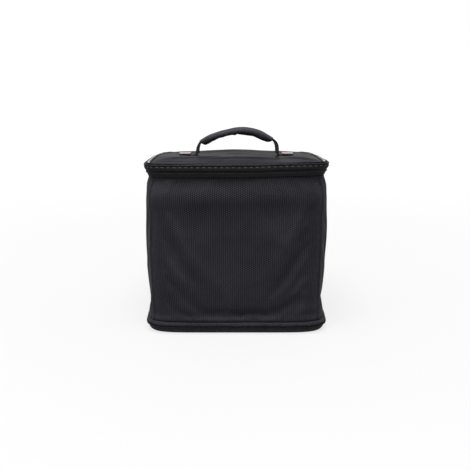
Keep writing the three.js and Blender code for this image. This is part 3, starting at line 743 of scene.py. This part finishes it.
def cloth_material(name, colour, thread, relief=0.6, roughness=0.62, sheen=0.06, stretch=(1.0, 2.0),
                   specular=0.1, gap_shade=0.8, weft=0.62, uneven=0.3):
    """Woven cloth on the piece's own map, with painted shade in the weave's grooves and on its weft-topped cells.
    """
    material, wiring, shader = new_material(name)
    chart = wiring.add("ShaderNodeUVMap", uv_map="cloth").outputs[0]
    chart = wiring.add("ShaderNodeMapping", {"Vector": chart, "Scale": (*stretch, 1.0)}).outputs[0]
    places = wiring.add("ShaderNodeTexCoord").outputs["Object"]
    wear = wiring.add("ShaderNodeAttribute", attribute_name="wear").outputs["Fac"]
    weave = wiring.add("ShaderNodeGroup", node_tree=woven_threads())
    wiring.fill(weave, {"Vector": chart, "Thread": thread})
    weave = weave.outputs
    worn_and_highlit = wiring.add("ShaderNodeGroup", node_tree=handled_surface())
    wiring.fill(worn_and_highlit, {"Vector": places, "Wear": wear})
    worn_and_highlit = worn_and_highlit.outputs

    base = wiring.blend(worn_and_highlit["Patch"], shade(colour, 0.90), shade(colour, 1.10))
    # Painted shade in the weave: the cells where the weft lies on top are darkened, patchily, and so are the
    # grooves between the ribs
    lean = wiring.spread(wiring.noise(places, 16.0, 2.0), 0.35, 0.65, 0.55, 1.0)
    under = wiring.maths("MULTIPLY", wiring.maths("SUBTRACT", 1.0, weave["Warp"]), weft)
    base = wiring.blend(wiring.maths("MULTIPLY", under, lean), base, shade(colour, 0.08))
    groove_shade = wiring.maths("POWER", wiring.maths("SUBTRACT", 1.0, weave["Rib"]), 1.4)
    base = wiring.blend(wiring.maths("MULTIPLY", groove_shade, gap_shade), base, shade(colour, 0.05))
    # Lighter where the piece marks rubbed edges and painted highlights on ridges, welts and cords
    base = wiring.blend(wiring.maths("MULTIPLY", worn_and_highlit["Rubbed"], 0.45), base, shade(colour, 1.9))
    base = wiring.blend(wiring.maths("MULTIPLY", worn_and_highlit["Lint"], 0.25), base, shade(colour, 3.5))
    weave_normal = wiring.relief(relief, thread * 0.16, weave["Height"])
    wiring.fill(shader, {
        "Base Color": base,
        "Roughness": wiring.spread(worn_and_highlit["Patch"], 0.0, 1.0, roughness + 0.05, roughness - 0.06),
        "Specular IOR Level": specular, "Sheen Weight": sheen, "Sheen Roughness": 0.4,
        "Sheen Tint": (0.9, 0.92, 1.0, 1.0),
        "Normal": wiring.relief(uneven, 0.0025, wiring.noise(places, 38.0, 3.0), Normal=weave_normal)})
    return material


def plain_material(name, colour, roughness, grain_scale, relief=0.15, specular=0.5, mottling=0.12):
    """Moulded or coated finish with a fine grain."""
    material, wiring, shader = new_material(name)
    places = wiring.add("ShaderNodeTexCoord").outputs["Object"]
    grain = wiring.noise(places, grain_scale, 3.0)
    patches = wiring.spread(wiring.noise(places, 60.0, 4.0), 0.3, 0.7)
    wiring.fill(shader, {
        "Base Color": wiring.blend(patches, shade(colour, 1 - mottling), shade(colour, 1 + mottling)),
        "Roughness": wiring.spread(patches, 0.0, 1.0, roughness + 0.08, roughness - 0.05),
        "Specular IOR Level": specular, "Normal": wiring.relief(relief, 0.0003, grain)})
    return material


def patch_material(name):
    """Light patch with a coloured rear edge."""
    material, wiring, shader = new_material(name)
    colour, edge = colours().patch, colours().patch_edge
    places = wiring.add("ShaderNodeTexCoord").outputs["Object"]
    back = wiring.add("ShaderNodeSeparateXYZ", {0: places}).outputs[1]
    mask = wiring.spread(back, HANDLE_BACK + 0.0112, HANDLE_BACK + 0.0118)
    patches = wiring.spread(wiring.noise(places, 90.0, 4.0), 0.3, 0.7)
    base = wiring.blend(patches, shade(colour, 0.93), shade(colour, 1.05))
    wiring.fill(shader, {
        "Base Color": wiring.blend(mask, base, shade(edge, 1.0)),
        "Roughness": wiring.spread(patches, 0.0, 1.0, 0.5, 0.38),
        "Normal": wiring.relief(0.12, 0.0002, wiring.noise(places, 1500.0, 2.0))})
    return material


# Woven finishes: colour, its shade, width of a thread, other settings of the cloth
CLOTHS = {
    "body_cloth": ("cloth", 1.0, None, {}),
    # The lid's darker colour is painted shade, offsetting the stronger light that falls on the lid
    "lid_cloth": ("lid_cloth", 1.0, None,
                  {"roughness": 0.32, "relief": 0.14, "sheen": 0.0, "specular": 0.013, "uneven": 0.1}),
    "zip_tape": ("tape", 1.0, 0.0014, {"roughness": 0.8, "specular": 0.08, "weft": 0.4, "gap_shade": 0.5}),
    "webbing": ("webbing", 1.0, 0.0016, {"stretch": (1.0, 1.0), "gap_shade": 0.6, "weft": 0.4}),
    "sleeve_cloth": ("webbing", 1.35, 0.0022, {"roughness": 0.66, "weft": 0.45, "gap_shade": 0.5}),
    "seam_binding": ("webbing", 1.0, 0.0011, {"stretch": (1.0, 1.0), "gap_shade": 0.3, "weft": 0.3}),
    "strip_border": ("tape", 1.0, 0.0010, {"stretch": (1.0, 1.0), "gap_shade": 0.4, "weft": 0.3}),
}

# Plain finishes: colour, roughness, fineness of the grain, other settings
PLAINS = {
    "hidden_thread": ("tape", 0.7, 2600.0, {"relief": 0.4, "specular": 0.2}),
    "zip_nylon": ("teeth", 0.42, 900.0, {}),
    "sewing_thread": ("thread", 0.6, 2600.0, {"relief": 0.4}),
    "light_trim": ("trim", 0.42, 1500.0, {"specular": 0.55, "mottling": 0.05}),
}


# Finishes made so far, apart from the frame's own materials, which may have the same names
FINISHES = {}


def finish(name):
    """A material, made the first time it is asked for."""
    if name in FINISHES:
        return FINISHES[name]
    if name in CLOTHS:
        tint, factor, thread, settings = CLOTHS[name]
        colour = shade(getattr(colours(), tint), factor)
        FINISHES[name] = cloth_material(name, colour, thread or sizes().thread, **settings)
    elif name in PLAINS:
        tint, roughness, grain, settings = PLAINS[name]
        FINISHES[name] = plain_material(name, getattr(colours(), tint), roughness, grain, **settings)
    else:
        FINISHES[name] = patch_material(name)
    return FINISHES[name]


# ---- Pieces ----------------------------------------------------------------------

def seam_pinch(angle):
    """How far the cloth draws in at a front corner seam."""
    turn = angle if angle < math.pi else angle - TURN
    apart = min(abs(turn + SEAM_ANGLE), abs(turn + math.pi - SEAM_ANGLE)) * CORNER_REACH
    return bump(apart, 0.0035) - 0.45 * bump(apart - 0.010, 0.006)


def seam_puckers(share, up):
    """Small upright gathers where the wall meets the zip and the base."""
    near = bump(up - 1.0, 0.055) + 0.8 * bump(up, 0.05)
    wave = waver(share * GIRTH * 55, up * 3.0, 4.2) + 0.5 * waver(share * GIRTH * 120, up * 5, 9.7)
    return near * wave


def settled_cloth(piece, held, frames=16):
    """Swells and settles a piece's cloth with Blender's own cloth, then keeps the result up to the cap."""
    before = [vert.co.copy() for vert in piece.data.vertices]
    group = piece.vertex_groups.new(name="held")
    for index, weight in held:
        group.add([index], weight, "REPLACE")
    modifier = piece.modifiers.new("cloth", "CLOTH")
    settings = modifier.settings
    settings.quality = 6
    settings.mass = 0.4
    settings.tension_stiffness = 22
    settings.compression_stiffness = 22
    settings.shear_stiffness = 8
    settings.bending_stiffness = 3.0
    settings.vertex_group_mass = "held"
    settings.pin_stiffness = 2.0
    settings.use_pressure = True
    settings.uniform_pressure_force = sizes().padding
    settings.shrink_min = -0.012
    settings.effector_weights.gravity = 0.25
    modifier.point_cache.frame_start = 1
    modifier.point_cache.frame_end = frames
    scene = bpy.context.scene
    for step in range(1, frames + 1):
        scene.frame_set(step)
    settled = piece.evaluated_get(bpy.context.evaluated_depsgraph_get()).to_mesh()
    after = [vert.co.copy() for vert in settled.vertices]
    piece.evaluated_get(bpy.context.evaluated_depsgraph_get()).to_mesh_clear()
    piece.modifiers.remove(modifier)
    scene.frame_set(1)
    for vert, start, end in zip(piece.data.vertices, before, after):
        move = end - start
        vert.co = start + move * min(1.0, SETTLING_CAP / max(move.length, 1e-9))
    piece.vertex_groups.remove(group)
    piece.data.update()


class HELMETCASE_OT_wall(Operator):
    """Padded cloth wall with its soft folds"""
    bl_idname = "helmetcase.wall"
    bl_label = "Wall"

    def execute(self, context):
        columns, rows = sizes().wall_columns, 46

        def place(share, up):
            angle = walk_angle(share)
            point = wall_point(angle, up)
            middle = math.sin(math.pi * up) ** 0.5 if 0 < up < 1 else 0.0
            pinch = -0.0005 * seam_pinch(angle) * (0.4 + 0.6 * middle)
            pucker = sizes().pucker * seam_puckers(share, up)
            drift = 0.0012 * middle * waver(share * GIRTH * 14, up * 4.2, 1.3)
            return point + outward_at(angle) * (pinch + pucker + drift)

        round_length = round(GIRTH / (2 * sizes().thread)) * 2 * sizes().thread
        bm = mapped_grid(columns, rows, place, lambda s, t: (s * round_length, t * WALL_HEIGHT))

        # Lighter along the hem ridge just above the base and on the bulges beside the front corner seams: painted
        # highlights of these lit ridges
        def wear(point):
            near = bump(point.z - WALL_BASE - 0.008, 0.004)
            return 0.6 * near + 0.5 * max(0.0, seam_pinch(turn_of(point)) * -2.0)

        piece = make_piece(bm, "wall_cloth", "body_cloth", ["body_wall"], wear)
        held = []
        for vert in piece.data.vertices:
            up = (vert.co.z - WALL_BASE) / WALL_HEIGHT
            if min(up, 1 - up) < 0.02:
                held.append((vert.index, 1.0))
            elif corner_share(turn_of(vert.co)) > 0.985:
                held.append((vert.index, 0.9))
        settled_cloth(piece, held)
        for vert in piece.data.vertices:
            angle, up = turn_of(vert.co), (vert.co.z - WALL_BASE) / WALL_HEIGHT
            vert.co += outward_at(angle) * padding_push(angle, up)
        smoothed(piece)
        thickened(piece)
        return {"FINISHED"}


class HELMETCASE_OT_base(Operator):
    """Rolled floor panel and the band above it"""
    bl_idname = "helmetcase.base"
    bl_label = "Base"

    def execute(self, context):
        def floor_place(share, up):
            angle = walk_angle(share)
            inset = smooth_read(FLOOR_SECTION, up, 1)
            z = max(0.0, smooth_read(FLOOR_SECTION, up, 2))
            scale = 1 - inset / (CASE_WIDTH / 2)
            point = rim_point(angle, 0, z)
            ripple = 0.0005 * waver(share * GIRTH * 26, up * 6, 2.1) * bump(up - 0.72, 0.1)
            reach = point.xy.length * scale + ripple
            if z <= 0.0:
                reach = point.xy.length * scale
            return Vector((math.cos(angle) * reach, math.sin(angle) * reach, z))

        bm = mapped_grid(224, 44, floor_place, lambda s, t: (s * GIRTH, t * 0.16))
        floor = make_piece(bm, "floor_cloth", "body_cloth", ["floor_panel"],
                           lambda p: bump(p.z - 0.006, 0.004))

        def band_place(share, around):
            angle = walk_angle(share)
            inset = smooth_read(BAND_SECTION, around, 1)
            z = BAND_BASE + (BAND_TOP - BAND_BASE) * min(1.0, max(0.0, smooth_read(BAND_SECTION, around, 2)))
            ripple = 0.0004 * waver(share * GIRTH * 34, around * 2, 6.1) * bump(around - 0.28, 0.2)
            return rim_point(angle, inset - ripple, z)

        bm = mapped_grid(320, 20, band_place, lambda s, t: (s * GIRTH, t * 0.022))
        # Lighter along the band's ridge: painted highlight
        band = make_piece(bm, "base_band_cloth", "body_cloth", ["base_band"],
                          lambda p: 0.7 * bump(p.z - 0.0173, 0.003))
        return {"FINISHED"}


class HELMETCASE_OT_corner_seams(Operator):
    """Upright corded seams at the two front corners"""
    bl_idname = "helmetcase.corner_seams"
    bl_label = "Corner seams"

    def execute(self, context):
        for word, angle in (("right", TURN - SEAM_ANGLE), ("left", math.pi + SEAM_ANGLE)):
            nudge = 0.01
            aside = (wall_point(angle + nudge, 0.5) - wall_point(angle - nudge, 0.5))
            aside.z = 0
            aside.normalize()
            outward = Vector((aside.y, -aside.x, 0.0))

            def place(around, up, angle=angle, aside=aside, outward=outward):
                turn = around * TURN
                sway = 0.0004 * waver(up * 22, angle, 0.3)
                width = 0.0017 * (1 + 0.12 * waver(up * 40, angle, 5.0))
                ends = min(1.0, min(up, 1 - up) / 0.004)
                width *= ends ** 0.5
                return (wall_point(angle, up) + aside * (math.cos(turn) * width + sway)
                        + outward * (math.sin(turn) * width * 0.85 + padding_push(angle, up)))

            bm = mapped_grid(14, 180, place, lambda s, t: (s * 0.0107, t * WALL_HEIGHT))
            # The welt is made lighter all along: painted highlight of the lit cord
            make_piece(bm, "corner_seam_" + word, "seam_binding", ["seam_welt_" + word],
                       lambda p: 0.6)
        return {"FINISHED"}


def zip_span():
    """Shares of the way round at which the zip starts and ends, from the middle of the back."""
    start = (HINGE_HALF + 2 * GAP) / GIRTH
    return start, 1 - start


def zip_tape(name, node, start, end, low, high, bulge, soft=0.0003):
    """A tape on the zip's slanting face, with rounded edges."""
    deep = TAPE_THICKNESS
    section = [(0.0, low + soft), (-bulge, (low + high) / 2), (0.0, high - soft), (soft, high),
               (deep - soft, high), (deep, high - soft), (deep, low + soft), (deep - soft, low), (soft, low)]
    count = len(section)

    def place(along, around):
        angle = walk_angle(start + (end - start) * along)
        depth, z = section[round(around * count) % count]
        ripple = 0.00025 * waver(along * GIRTH * 60, z * 90, 3.3)
        return stack_point(angle, z, depth - ripple)

    run = (end - start) * GIRTH
    bm = mapped_grid(420, count, place, lambda s, t: (s * run, t * 2 * (high - low + deep)))
    close_ends(bm)
    make_piece(bm, name, "zip_tape", [node], lambda p: 0.0)


class HELMETCASE_OT_zip(Operator):
    """Zip tapes, teeth and slider"""
    bl_idname = "helmetcase.zip"
    bl_label = "Zip"

    def execute(self, context):
        start, end = zip_span()
        zip_tape("zip_tape_above", "zip_tape_upper", start, end, *UPPER_TAPE, 0.0009)
        zip_tape("zip_tape_below", "zip_tape_lower", start, end, *LOWER_TAPE, -0.0004)
        self.edge_cord(start, end)
        self.teeth(start, end)
        self.slider()
        return {"FINISHED"}

    # A cord along the lower tape's top edge, lighter all along: a painted highlight where the edge catches the
    # light
    def edge_cord(self, start, end):
        def place(along, around):
            angle = walk_angle(start + (end - start) * along)
            turn = around * TURN
            z = LOWER_TAPE[1] - 0.0006 + 0.0007 * math.sin(turn)
            return stack_point(angle, z, -0.0002 - 0.0007 * math.cos(turn))

        bm = mapped_grid(420, 6, place, lambda s, t: (s * GIRTH, t * 0.005))
        close_ends(bm)
        make_piece(bm, "zip_edge_cord", "seam_binding", (), lambda p: 0.8)

    def teeth(self, start, end):
        bm = bmesh.new()
        count = int((end - start) * GIRTH / sizes().tooth_pitch)
        middle = (COIL[0] + COIL[1]) / 2
        for index in range(count):
            share = start + (end - start) * (index + 0.5) / count
            angle = walk_angle(share)
            for side in (-1, 1):
                nudge = side * 0.25 / count * (end - start)
                z = middle + side * 0.00062
                point = stack_point(walk_angle(share + nudge), z, 0.0013)
                along = stack_point(walk_angle(share + 0.0005), z) - stack_point(walk_angle(share - 0.0005), z)
                matrix = turned_to(point, along, outward_at(angle, 0.2))
                bmesh.ops.create_cube(bm, size=1.0, matrix=matrix @ Matrix.Diagonal((*TOOTH_SIZE, 1.0)))
        bevelled(bm, bm.edges[:], 0.0002, 1)
        make_piece(bm, "zip_teeth", "zip_nylon", ["zip_coil"])

    def slider(self):
        angle = math.atan2(SLIDER_BACK, CASE_WIDTH / 2)
        middle = (COIL[0] + COIL[1]) / 2
        face = stack_point(angle, middle, 0.0)
        low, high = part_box("zip_slider")
        bm = bmesh.new()
        body = Matrix.Translation((face.x + 0.0021, SLIDER_BACK, middle + rim_sway(angle)))
        bmesh.ops.create_cube(bm, size=1.0, matrix=body @ Matrix.Diagonal((*SLIDER_SIZE, 1.0)))
        bevelled(bm, bm.edges[:], 0.0012, 3)
        bridge = body @ Matrix.Translation((0.0016, 0, 0.0004)) @ Matrix.Diagonal((*BRIDGE_SIZE, 1.0))
        made = set(bmesh.ops.create_cube(bm, size=1.0, matrix=bridge)["verts"])
        bevelled(bm, [edge for edge in bm.edges if edge.verts[0] in made], 0.0006, 2)
        make_piece(bm, "slider_body", "zip_nylon", ["zip_slider"])

        bm = bmesh.new()
        bmesh.ops.create_circle(bm, cap_ends=True, segments=32, radius=1.0)
        rim = bmesh.ops.inset_region(bm, faces=bm.faces[:], thickness=0.42, depth=0.0, use_boundary=True)["faces"]
        bmesh.ops.delete(bm, geom=[face for face in bm.faces if face not in rim], context="FACES_ONLY")
        for vert in bm.verts:
            tall = PULL_HALF_LENGTH if vert.co.length > 0.9 else PULL_HOLE_LENGTH
            vert.co = Vector((vert.co.x * PULL_HALF_WIDTH, vert.co.y * tall, 0.0))
        bmesh.ops.solidify(bm, geom=bm.faces[:], thickness=0.0013)
        bevelled(bm, [edge for edge in bm.edges if edge.calc_face_angle(0) > 1.0], 0.0003, 2)
        place = Matrix.Translation(((low[0] + high[0]) / 2 + 0.0016, SLIDER_BACK, low[2] + 0.0128))
        turn = Matrix(((0, 0, 1, 0), (1, 0, 0, 0), (0, 1, 0, 0), (0, 0, 0, 1)))
        bmesh.ops.transform(bm, matrix=place @ turn, verts=bm.verts)
        make_piece(bm, "slider_pull", "zip_nylon")


class HELMETCASE_OT_hinge(Operator):
    """Cloth across the back on which the lid turns"""
    bl_idname = "helmetcase.hinge"
    bl_label = "Hinge"

    def execute(self, context):
        half = HINGE_HALF / GIRTH
        low, high = LOWER_TAPE[0], UPPER_TAPE[1]
        heights = [low + (high - low) * step / 14 for step in range(15)]
        section = [(0.0008 * math.sin(math.pi * step / 14) ** 2 - 0.0003 * math.cos(4 * math.pi * step / 14), z)
                   for step, z in enumerate(heights)]
        section += [(0.0020, high - 0.0002), (0.0020, low + 0.0002)]
        count = len(section)

        def place(along, around):
            angle = walk_angle(-half + 2 * half * along)
            depth, z = section[round(around * count) % count]
            ripple = 0.0004 * waver(along * 9, z * 120, 8.0)
            return stack_point(angle, z, max(0.0, depth + ripple))

        bm = mapped_grid(96, count, place, lambda s, t: (s * 2 * HINGE_HALF, t * 0.044))
        close_ends(bm)
        make_piece(bm, "hinge_cloth", "lid_cloth", ["hinge_strip"], lambda p: 0.3)
        return {"FINISHED"}


class HELMETCASE_OT_lid(Operator):
    """Padded lid with its soft rim and sagging top"""
    bl_idname = "helmetcase.lid"
    bl_label = "Lid"

    def execute(self, context):
        def read(across, back):
            s, t = 2 * across - 1, 2 * back - 1
            out = max(abs(s), abs(t))
            angle = math.atan2(t * CASE_DEPTH, s * CASE_WIDTH) if out > 1e-9 else 0.0
            share = 1 - (1 - out) ** 1.7
            reach = smooth_read(LID_LINE, share, 1)
            return angle, share, reach, rim_point(angle, 0, 0) * reach

        def place(across, back):
            angle, share, reach, point = read(across, back)
            z = lid_height(angle, reach, smooth_read(LID_LINE, share, 2))
            soft = min(1.0, (1 - share) / 0.05)
            z += soft * 0.0005 * waver(point.x * 26, point.y * 26, 0.7)
            z += soft * wrinkle_height(point.x, point.y)
            strip = bump(max(0.0, 0.140 - abs(point.x)), 0.004)
            strip *= bump(max(0.0, abs(point.y) - TRIM_LENGTH / 2), 0.004)
            roll = bump(reach - ROLL_REACH, ROLL_SPREAD) - 0.8 * bump(reach - GROOVE_REACH, ROLL_SPREAD)
            z += ROLL_HEIGHT * roll * (1 - strip)
            seam = bump(abs(point.x) - STRIP_SEAM, 0.0016) * (1 if abs(point.y) < 0.132 else 0)
            point.z = z - 0.0007 * seam
            return point

        def chart(across, back):
            return read(across, back)[3].xy

        bm = mapped_grid(96, 96, place, chart)

        # Lighter along the rim's edge; the faint lighter line along the crest of the front slope is a painted
        # highlight
        def wear(point):
            angle = math.atan2(point.y, point.x)
            reach = point.xy.length / rim_point(angle, 0, 0).length
            return bump(reach - 0.99, 0.012) + 0.15 * bump(reach - 0.75, 0.05)

        piece = make_piece(bm, "lid_cloth", "lid_cloth", ["lid_panel"], wear)
        smoothed(piece)
        thickened(piece)
        return {"FINISHED"}


class HELMETCASE_OT_side_trims(Operator):
    """Light strips along the two sides of the lid, their light colour a painted sheen of the lid's side band"""
    bl_idname = "helmetcase.side_trims"
    bl_label = "Side trims"

    def execute(self, context):
        for title, look, begin, width, rise, wave in STRIP_LAYERS:
            for word, side in (("right", 1), ("left", -1)):
                nodes = ["side_trim_" + word] if title == "light_strip" else []
                bm = self.band(side, begin, width, rise, wave)
                make_piece(bm, title + "_" + word, look, nodes, lambda p: 0.3)
        return {"FINISHED"}

    def band(self, side, begin, width, rise, wave):
        count = len(STRIP_SECTION)

        def place(around, along):
            y = (along - 0.5) * TRIM_LENGTH
            share, lift = STRIP_SECTION[round(around * count) % count]
            lift = rise * lift if lift > 0 else lift
            reach_in = TRIM_INSET + TRIM_WIDTH * (begin + width * share)
            rim = rim_point(math.atan2(y, side * CASE_WIDTH / 2), 0, 0)
            point = rim * (1 - reach_in / (CASE_WIDTH / 2))
            ripple = 0.0003 * waver(y * 60, side * 3.0, 1.0)
            ripple += 0.00012 * wave * waver(y * 240, share * 2, side * 9.0)
            ends = min(1.0, min(along, 1 - along) / 0.006) ** 0.5
            return Vector((point.x, point.y, lid_top(point.x, point.y) + GAP + lift * ends + ripple))

        bm = mapped_grid(count, 160, place, lambda s, t: (s * 0.02, t * TRIM_LENGTH))
        close_ends(bm)
        return bm


def quarter_mirrored(quarter):
    """A whole closed section from one quarter of it."""
    right = quarter + [(x, -y) for x, y in reversed(quarter[:-1])]
    left = [(-x, y) for x, y in reversed(right[1:-1])]
    return right + left


class HELMETCASE_OT_handle(Operator):
    """Doubled webbing and the padded sleeve round it"""
    bl_idname = "helmetcase.handle"
    bl_label = "Handle"

    def execute(self, context):
        route = strap_route()
        self.webbing(route)
        self.sleeve(route)
        return {"FINISHED"}

    def webbing(self, route):
        section = quarter_mirrored(STRAP_SECTION)
        count = len(section)

        def place(around, along):
            distance = route.length * along
            point, ahead = route.at(distance), route.along(distance)
            out = Vector((-ahead.z, 0.0, ahead.x))
            aside, thick = section[round(around * count) % count]
            leg = bump(abs(point.x) - 0.079, 0.006)
            across = Vector((-0.055 * math.copysign(leg, point.x), 1, 0))
            return point + across * aside * STRAP_WIDTH / 2 + out * thick * strap_half(point.x) * (1 + 0.22 * leg)

        def chart(around, along):
            aside = section[round(around * count) % count][0]
            return (aside * STRAP_WIDTH / 2, along * route.length)

        bm = mapped_grid(count, 260, place, chart)
        close_ends(bm)
        make_piece(bm, "handle_webbing", "webbing", ["handle_strap"], lambda p: 0.25)

    def sleeve(self, route):
        start, end = route.where(-GRIP_LENGTH / 2), route.where(GRIP_LENGTH / 2)

        def soft(value, power):
            return math.copysign(abs(value) ** power, value)

        def place(around, along):
            share = min(max((along - 0.02) / 0.96, 0.0), 1.0)
            distance = start + (end - start) * share
            point, ahead = route.at(distance), route.along(distance, 0.003)
            out = Vector((-ahead.z, 0.0, ahead.x))
            turn = around * TURN
            column = 2 if math.sin(turn) < 0 else 1
            thick = GRIP_THICKNESS * smooth_read(GRIP_FORM, share, column)
            rounding = min(1.0, min(along, 1 - along) / 0.035)
            rounding = (1 - (1 - rounding) ** 2) ** 0.5
            half = GRIP_WIDTH / 2 * (0.84 + 0.16 * rounding)
            thick = 0.0025 + (thick - 0.0025) * rounding
            aside = half * soft(math.cos(turn), 0.62)
            rise = thick * soft(math.sin(turn), 0.82)
            if math.sin(turn) < 0:
                below = bump(aside - 0.004, 0.0022)
                rise -= 0.0008 * below * rounding
                rise += 0.0009 * waver(along * 20, aside * 90, 2.0) * rounding
            rise += 0.0005 * waver(along * 9, turn, 7.0) * rounding
            return point + Vector((0, 1, 0)) * aside + out * rise

        bm = mapped_grid(40, 96, place, lambda s, t: (s * 0.09, t * (end - start)))
        close_ends(bm)
        piece = make_piece(bm, "grip_sleeve", "sleeve_cloth", ["handle_grip"],
                           lambda p: 0.5 * bump(abs(p.y - HANDLE_BACK) - 0.0185, 0.003))
        smoothed(piece)


class HELMETCASE_OT_patches(Operator):
    """Light patches over the feet of the webbing"""
    bl_idname = "helmetcase.patches"
    bl_label = "Patches"

    def execute(self, context):
        for word in ("right", "left"):
            node = "anchor_patch_" + word
            low, high = (Vector(corner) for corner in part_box(node))
            middle, size = (low + high) / 2, high - low
            bm = bmesh.new()
            bmesh.ops.create_cube(bm, size=1.0, matrix=Matrix.Translation(middle) @ Matrix.Diagonal((*size, 1.0)))
            upright = [edge for edge in bm.edges if abs(edge.verts[0].co.z - edge.verts[1].co.z) > size.z / 2]
            bevelled(bm, upright, 0.0035, 6)
            rim = [edge for edge in bm.edges if any(face.normal.z > 0.9 for face in edge.link_faces)]
            bevelled(bm, rim, 0.0006, 3)
            top = [face for face in bm.faces if face.normal.z > 0.99]
            bmesh.ops.inset_region(bm, faces=top, thickness=0.0012, depth=-0.00025)
            make_piece(bm, "foot_patch_" + word, "light_patch", [node])
        return {"FINISHED"}


class HELMETCASE_OT_stitching(Operator):
    """Every row of visible stitches"""
    bl_idname = "helmetcase.stitching"
    bl_label = "Stitching"

    def execute(self, context):
        length, pitch = sizes().stitch_length, sizes().stitch_pitch
        start, end = zip_span()
        turns = [walk_angle(start + (end - start) * step / 900) for step in range(901)]
        outward = [outward_at(angle, 0.25) for angle in turns]
        bm = bmesh.new()
        sewn = [stack_point(angle, SEWN_HEIGHT, -0.0003) for angle in turns]
        sew(bm, sewn, outward, length, pitch, 0.0013, 0.0009)
        make_piece(bm, "sewn_row", "sewing_thread")
        bm = bmesh.new()
        tucked = [stack_point(angle, TUCKED_HEIGHT, -0.0001) for angle in turns]
        sew(bm, tucked, outward, length, pitch, 0.0008, 0.0006)
        turns = [walk_angle(step / 1000) for step in range(1001)]
        outward = [outward_at(angle) for angle in turns]
        for inset, z in HEM_ROWS:
            sew(bm, [rim_point(angle, inset, z) for angle in turns], outward, 0.0030, 0.0042, 0.0006, 0.0005)
        make_piece(bm, "hidden_rows", "hidden_thread")
        return {"FINISHED"}


class HELMETCASE_OT_stage(Operator):
    """Floor, lights, world and camera"""
    bl_idname = "helmetcase.stage"
    bl_label = "Stage"

    def execute(self, context):
        self.floor(context.scene)
        self.world(context.scene)
        self.lamps(context.scene)
        self.camera(context.scene)
        return {"FINISHED"}

    def floor(self, scene):
        bm = bmesh.new()
        bmesh.ops.create_circle(bm, cap_ends=True, segments=96, radius=sizes().floor_radius)
        mesh = bpy.data.meshes.new("studio_floor")
        bm.to_mesh(mesh)
        bm.free()
        floor = bpy.data.objects.new("studio_floor", mesh)
        scene.collection.objects.link(floor)
        material, wiring, shader = new_material("studio_floor")
        places = wiring.add("ShaderNodeTexCoord").outputs["Object"]
        tone = wiring.spread(wiring.noise(places, 2.0, 2.0), 0.3, 0.7)
        seen = wiring.add("ShaderNodeLightPath").outputs["Is Camera Ray"]
        away = wiring.add("ShaderNodeVectorMath", {0: places}, operation="LENGTH").outputs["Value"]
        glow = wiring.spread(away, 0.2, 3.0, 0.775, 0.95)
        glow = wiring.add("ShaderNodeMix", {0: seen, 2: 0.25, 3: glow}).outputs[0]
        wiring.fill(shader, {
            "Base Color": wiring.blend(tone, (0.118, 0.118, 0.118, 1), (0.122, 0.122, 0.122, 1)),
            "Emission Color": (1.0, 1.0, 1.0, 1.0), "Emission Strength": glow,
            "Roughness": 0.9, "Specular IOR Level": 0.1})
        mesh.materials.append(material)

    def world(self, scene):
        world = bpy.data.worlds.new("studio")
        world.use_nodes = True
        wiring = Wiring(world.node_tree)
        background = world.node_tree.nodes["Background"]
        way = wiring.add("ShaderNodeTexCoord").outputs["Generated"]
        way = wiring.add("ShaderNodeSeparateXYZ", {0: way}).outputs
        sides = wiring.spread(way[1], -0.2, 0.7, 0.25, 0.58)
        above = wiring.spread(way[2], 0.2, 0.8)
        level = wiring.add("ShaderNodeMix", {0: above, 2: sides, 3: 0.75}).outputs[0]
        seen = wiring.add("ShaderNodeLightPath").outputs["Is Camera Ray"]
        level = wiring.add("ShaderNodeMix", {0: seen, 2: level, 3: 1.0}).outputs[0]
        background.inputs["Color"].default_value = (1.0, 1.0, 1.0, 1.0)
        wiring.feed(background.inputs["Strength"], level)
        scene.world = world
        scene.view_settings.view_transform = "Standard"

    def lamps(self, scene):
        for name, place, size, power in LAMPS:
            light = bpy.data.lights.new(name, "AREA")
            light.size = size
            light.energy = power
            lamp = bpy.data.objects.new(name, light)
            lamp.location = place
            lamp.rotation_euler = (LAMP_AIM - Vector(place)).to_track_quat("-Z", "Y").to_euler()
            scene.collection.objects.link(lamp)

    def camera(self, scene):
        camera = bpy.data.objects.new("camera", bpy.data.cameras.new("camera"))
        camera.data.lens = FOCAL_PIXELS / PICTURE_PIXELS * SENSOR
        camera.data.sensor_width = SENSOR
        camera.location = CAMERA_PLACE
        camera.rotation_euler = (math.radians(90 - CAMERA_TILT), 0.0, 0.0)
        scene.collection.objects.link(camera)
        scene.camera = camera


class HELMETCASE_PT_panel(Panel):
    """Lists the pieces of the case"""
    bl_idname = "HELMETCASE_PT_panel"
    bl_label = "Helmet case"
    bl_space_type = "VIEW_3D"
    bl_region_type = "UI"
    bl_category = "Helmet case"

    def draw(self, context):
        for group in (context.scene.helmet_case_sizes, context.scene.helmet_case_colours):
            box = self.layout.box()
            for name in group.__annotations__:
                box.prop(group, name)
        for piece in PIECES:
            self.layout.operator(piece.bl_idname)


PIECES = (
    HELMETCASE_OT_wall,
    HELMETCASE_OT_base,
    HELMETCASE_OT_corner_seams,
    HELMETCASE_OT_zip,
    HELMETCASE_OT_hinge,
    HELMETCASE_OT_lid,
    HELMETCASE_OT_side_trims,
    HELMETCASE_OT_handle,
    HELMETCASE_OT_patches,
    HELMETCASE_OT_stitching,
    HELMETCASE_OT_stage,
)
CLASSES = (HelmetCaseSizes, HelmetCaseColours, *PIECES, HELMETCASE_PT_panel)


def register():
    for entry in CLASSES:
        bpy.utils.register_class(entry)
    bpy.types.Scene.helmet_case_sizes = PointerProperty(type=HelmetCaseSizes)
    bpy.types.Scene.helmet_case_colours = PointerProperty(type=HelmetCaseColours)


def unregister():
    del bpy.types.Scene.helmet_case_colours
    del bpy.types.Scene.helmet_case_sizes
    for entry in reversed(CLASSES):
        bpy.utils.unregister_class(entry)


def main():
    register()
    for piece in PIECES:
        group, name = piece.bl_idname.split(".")
        if getattr(getattr(bpy.ops, group), name)() != {"FINISHED"}:
            raise RuntimeError(piece.bl_label + " wasn't made")


if __name__ == "__main__":
    main()
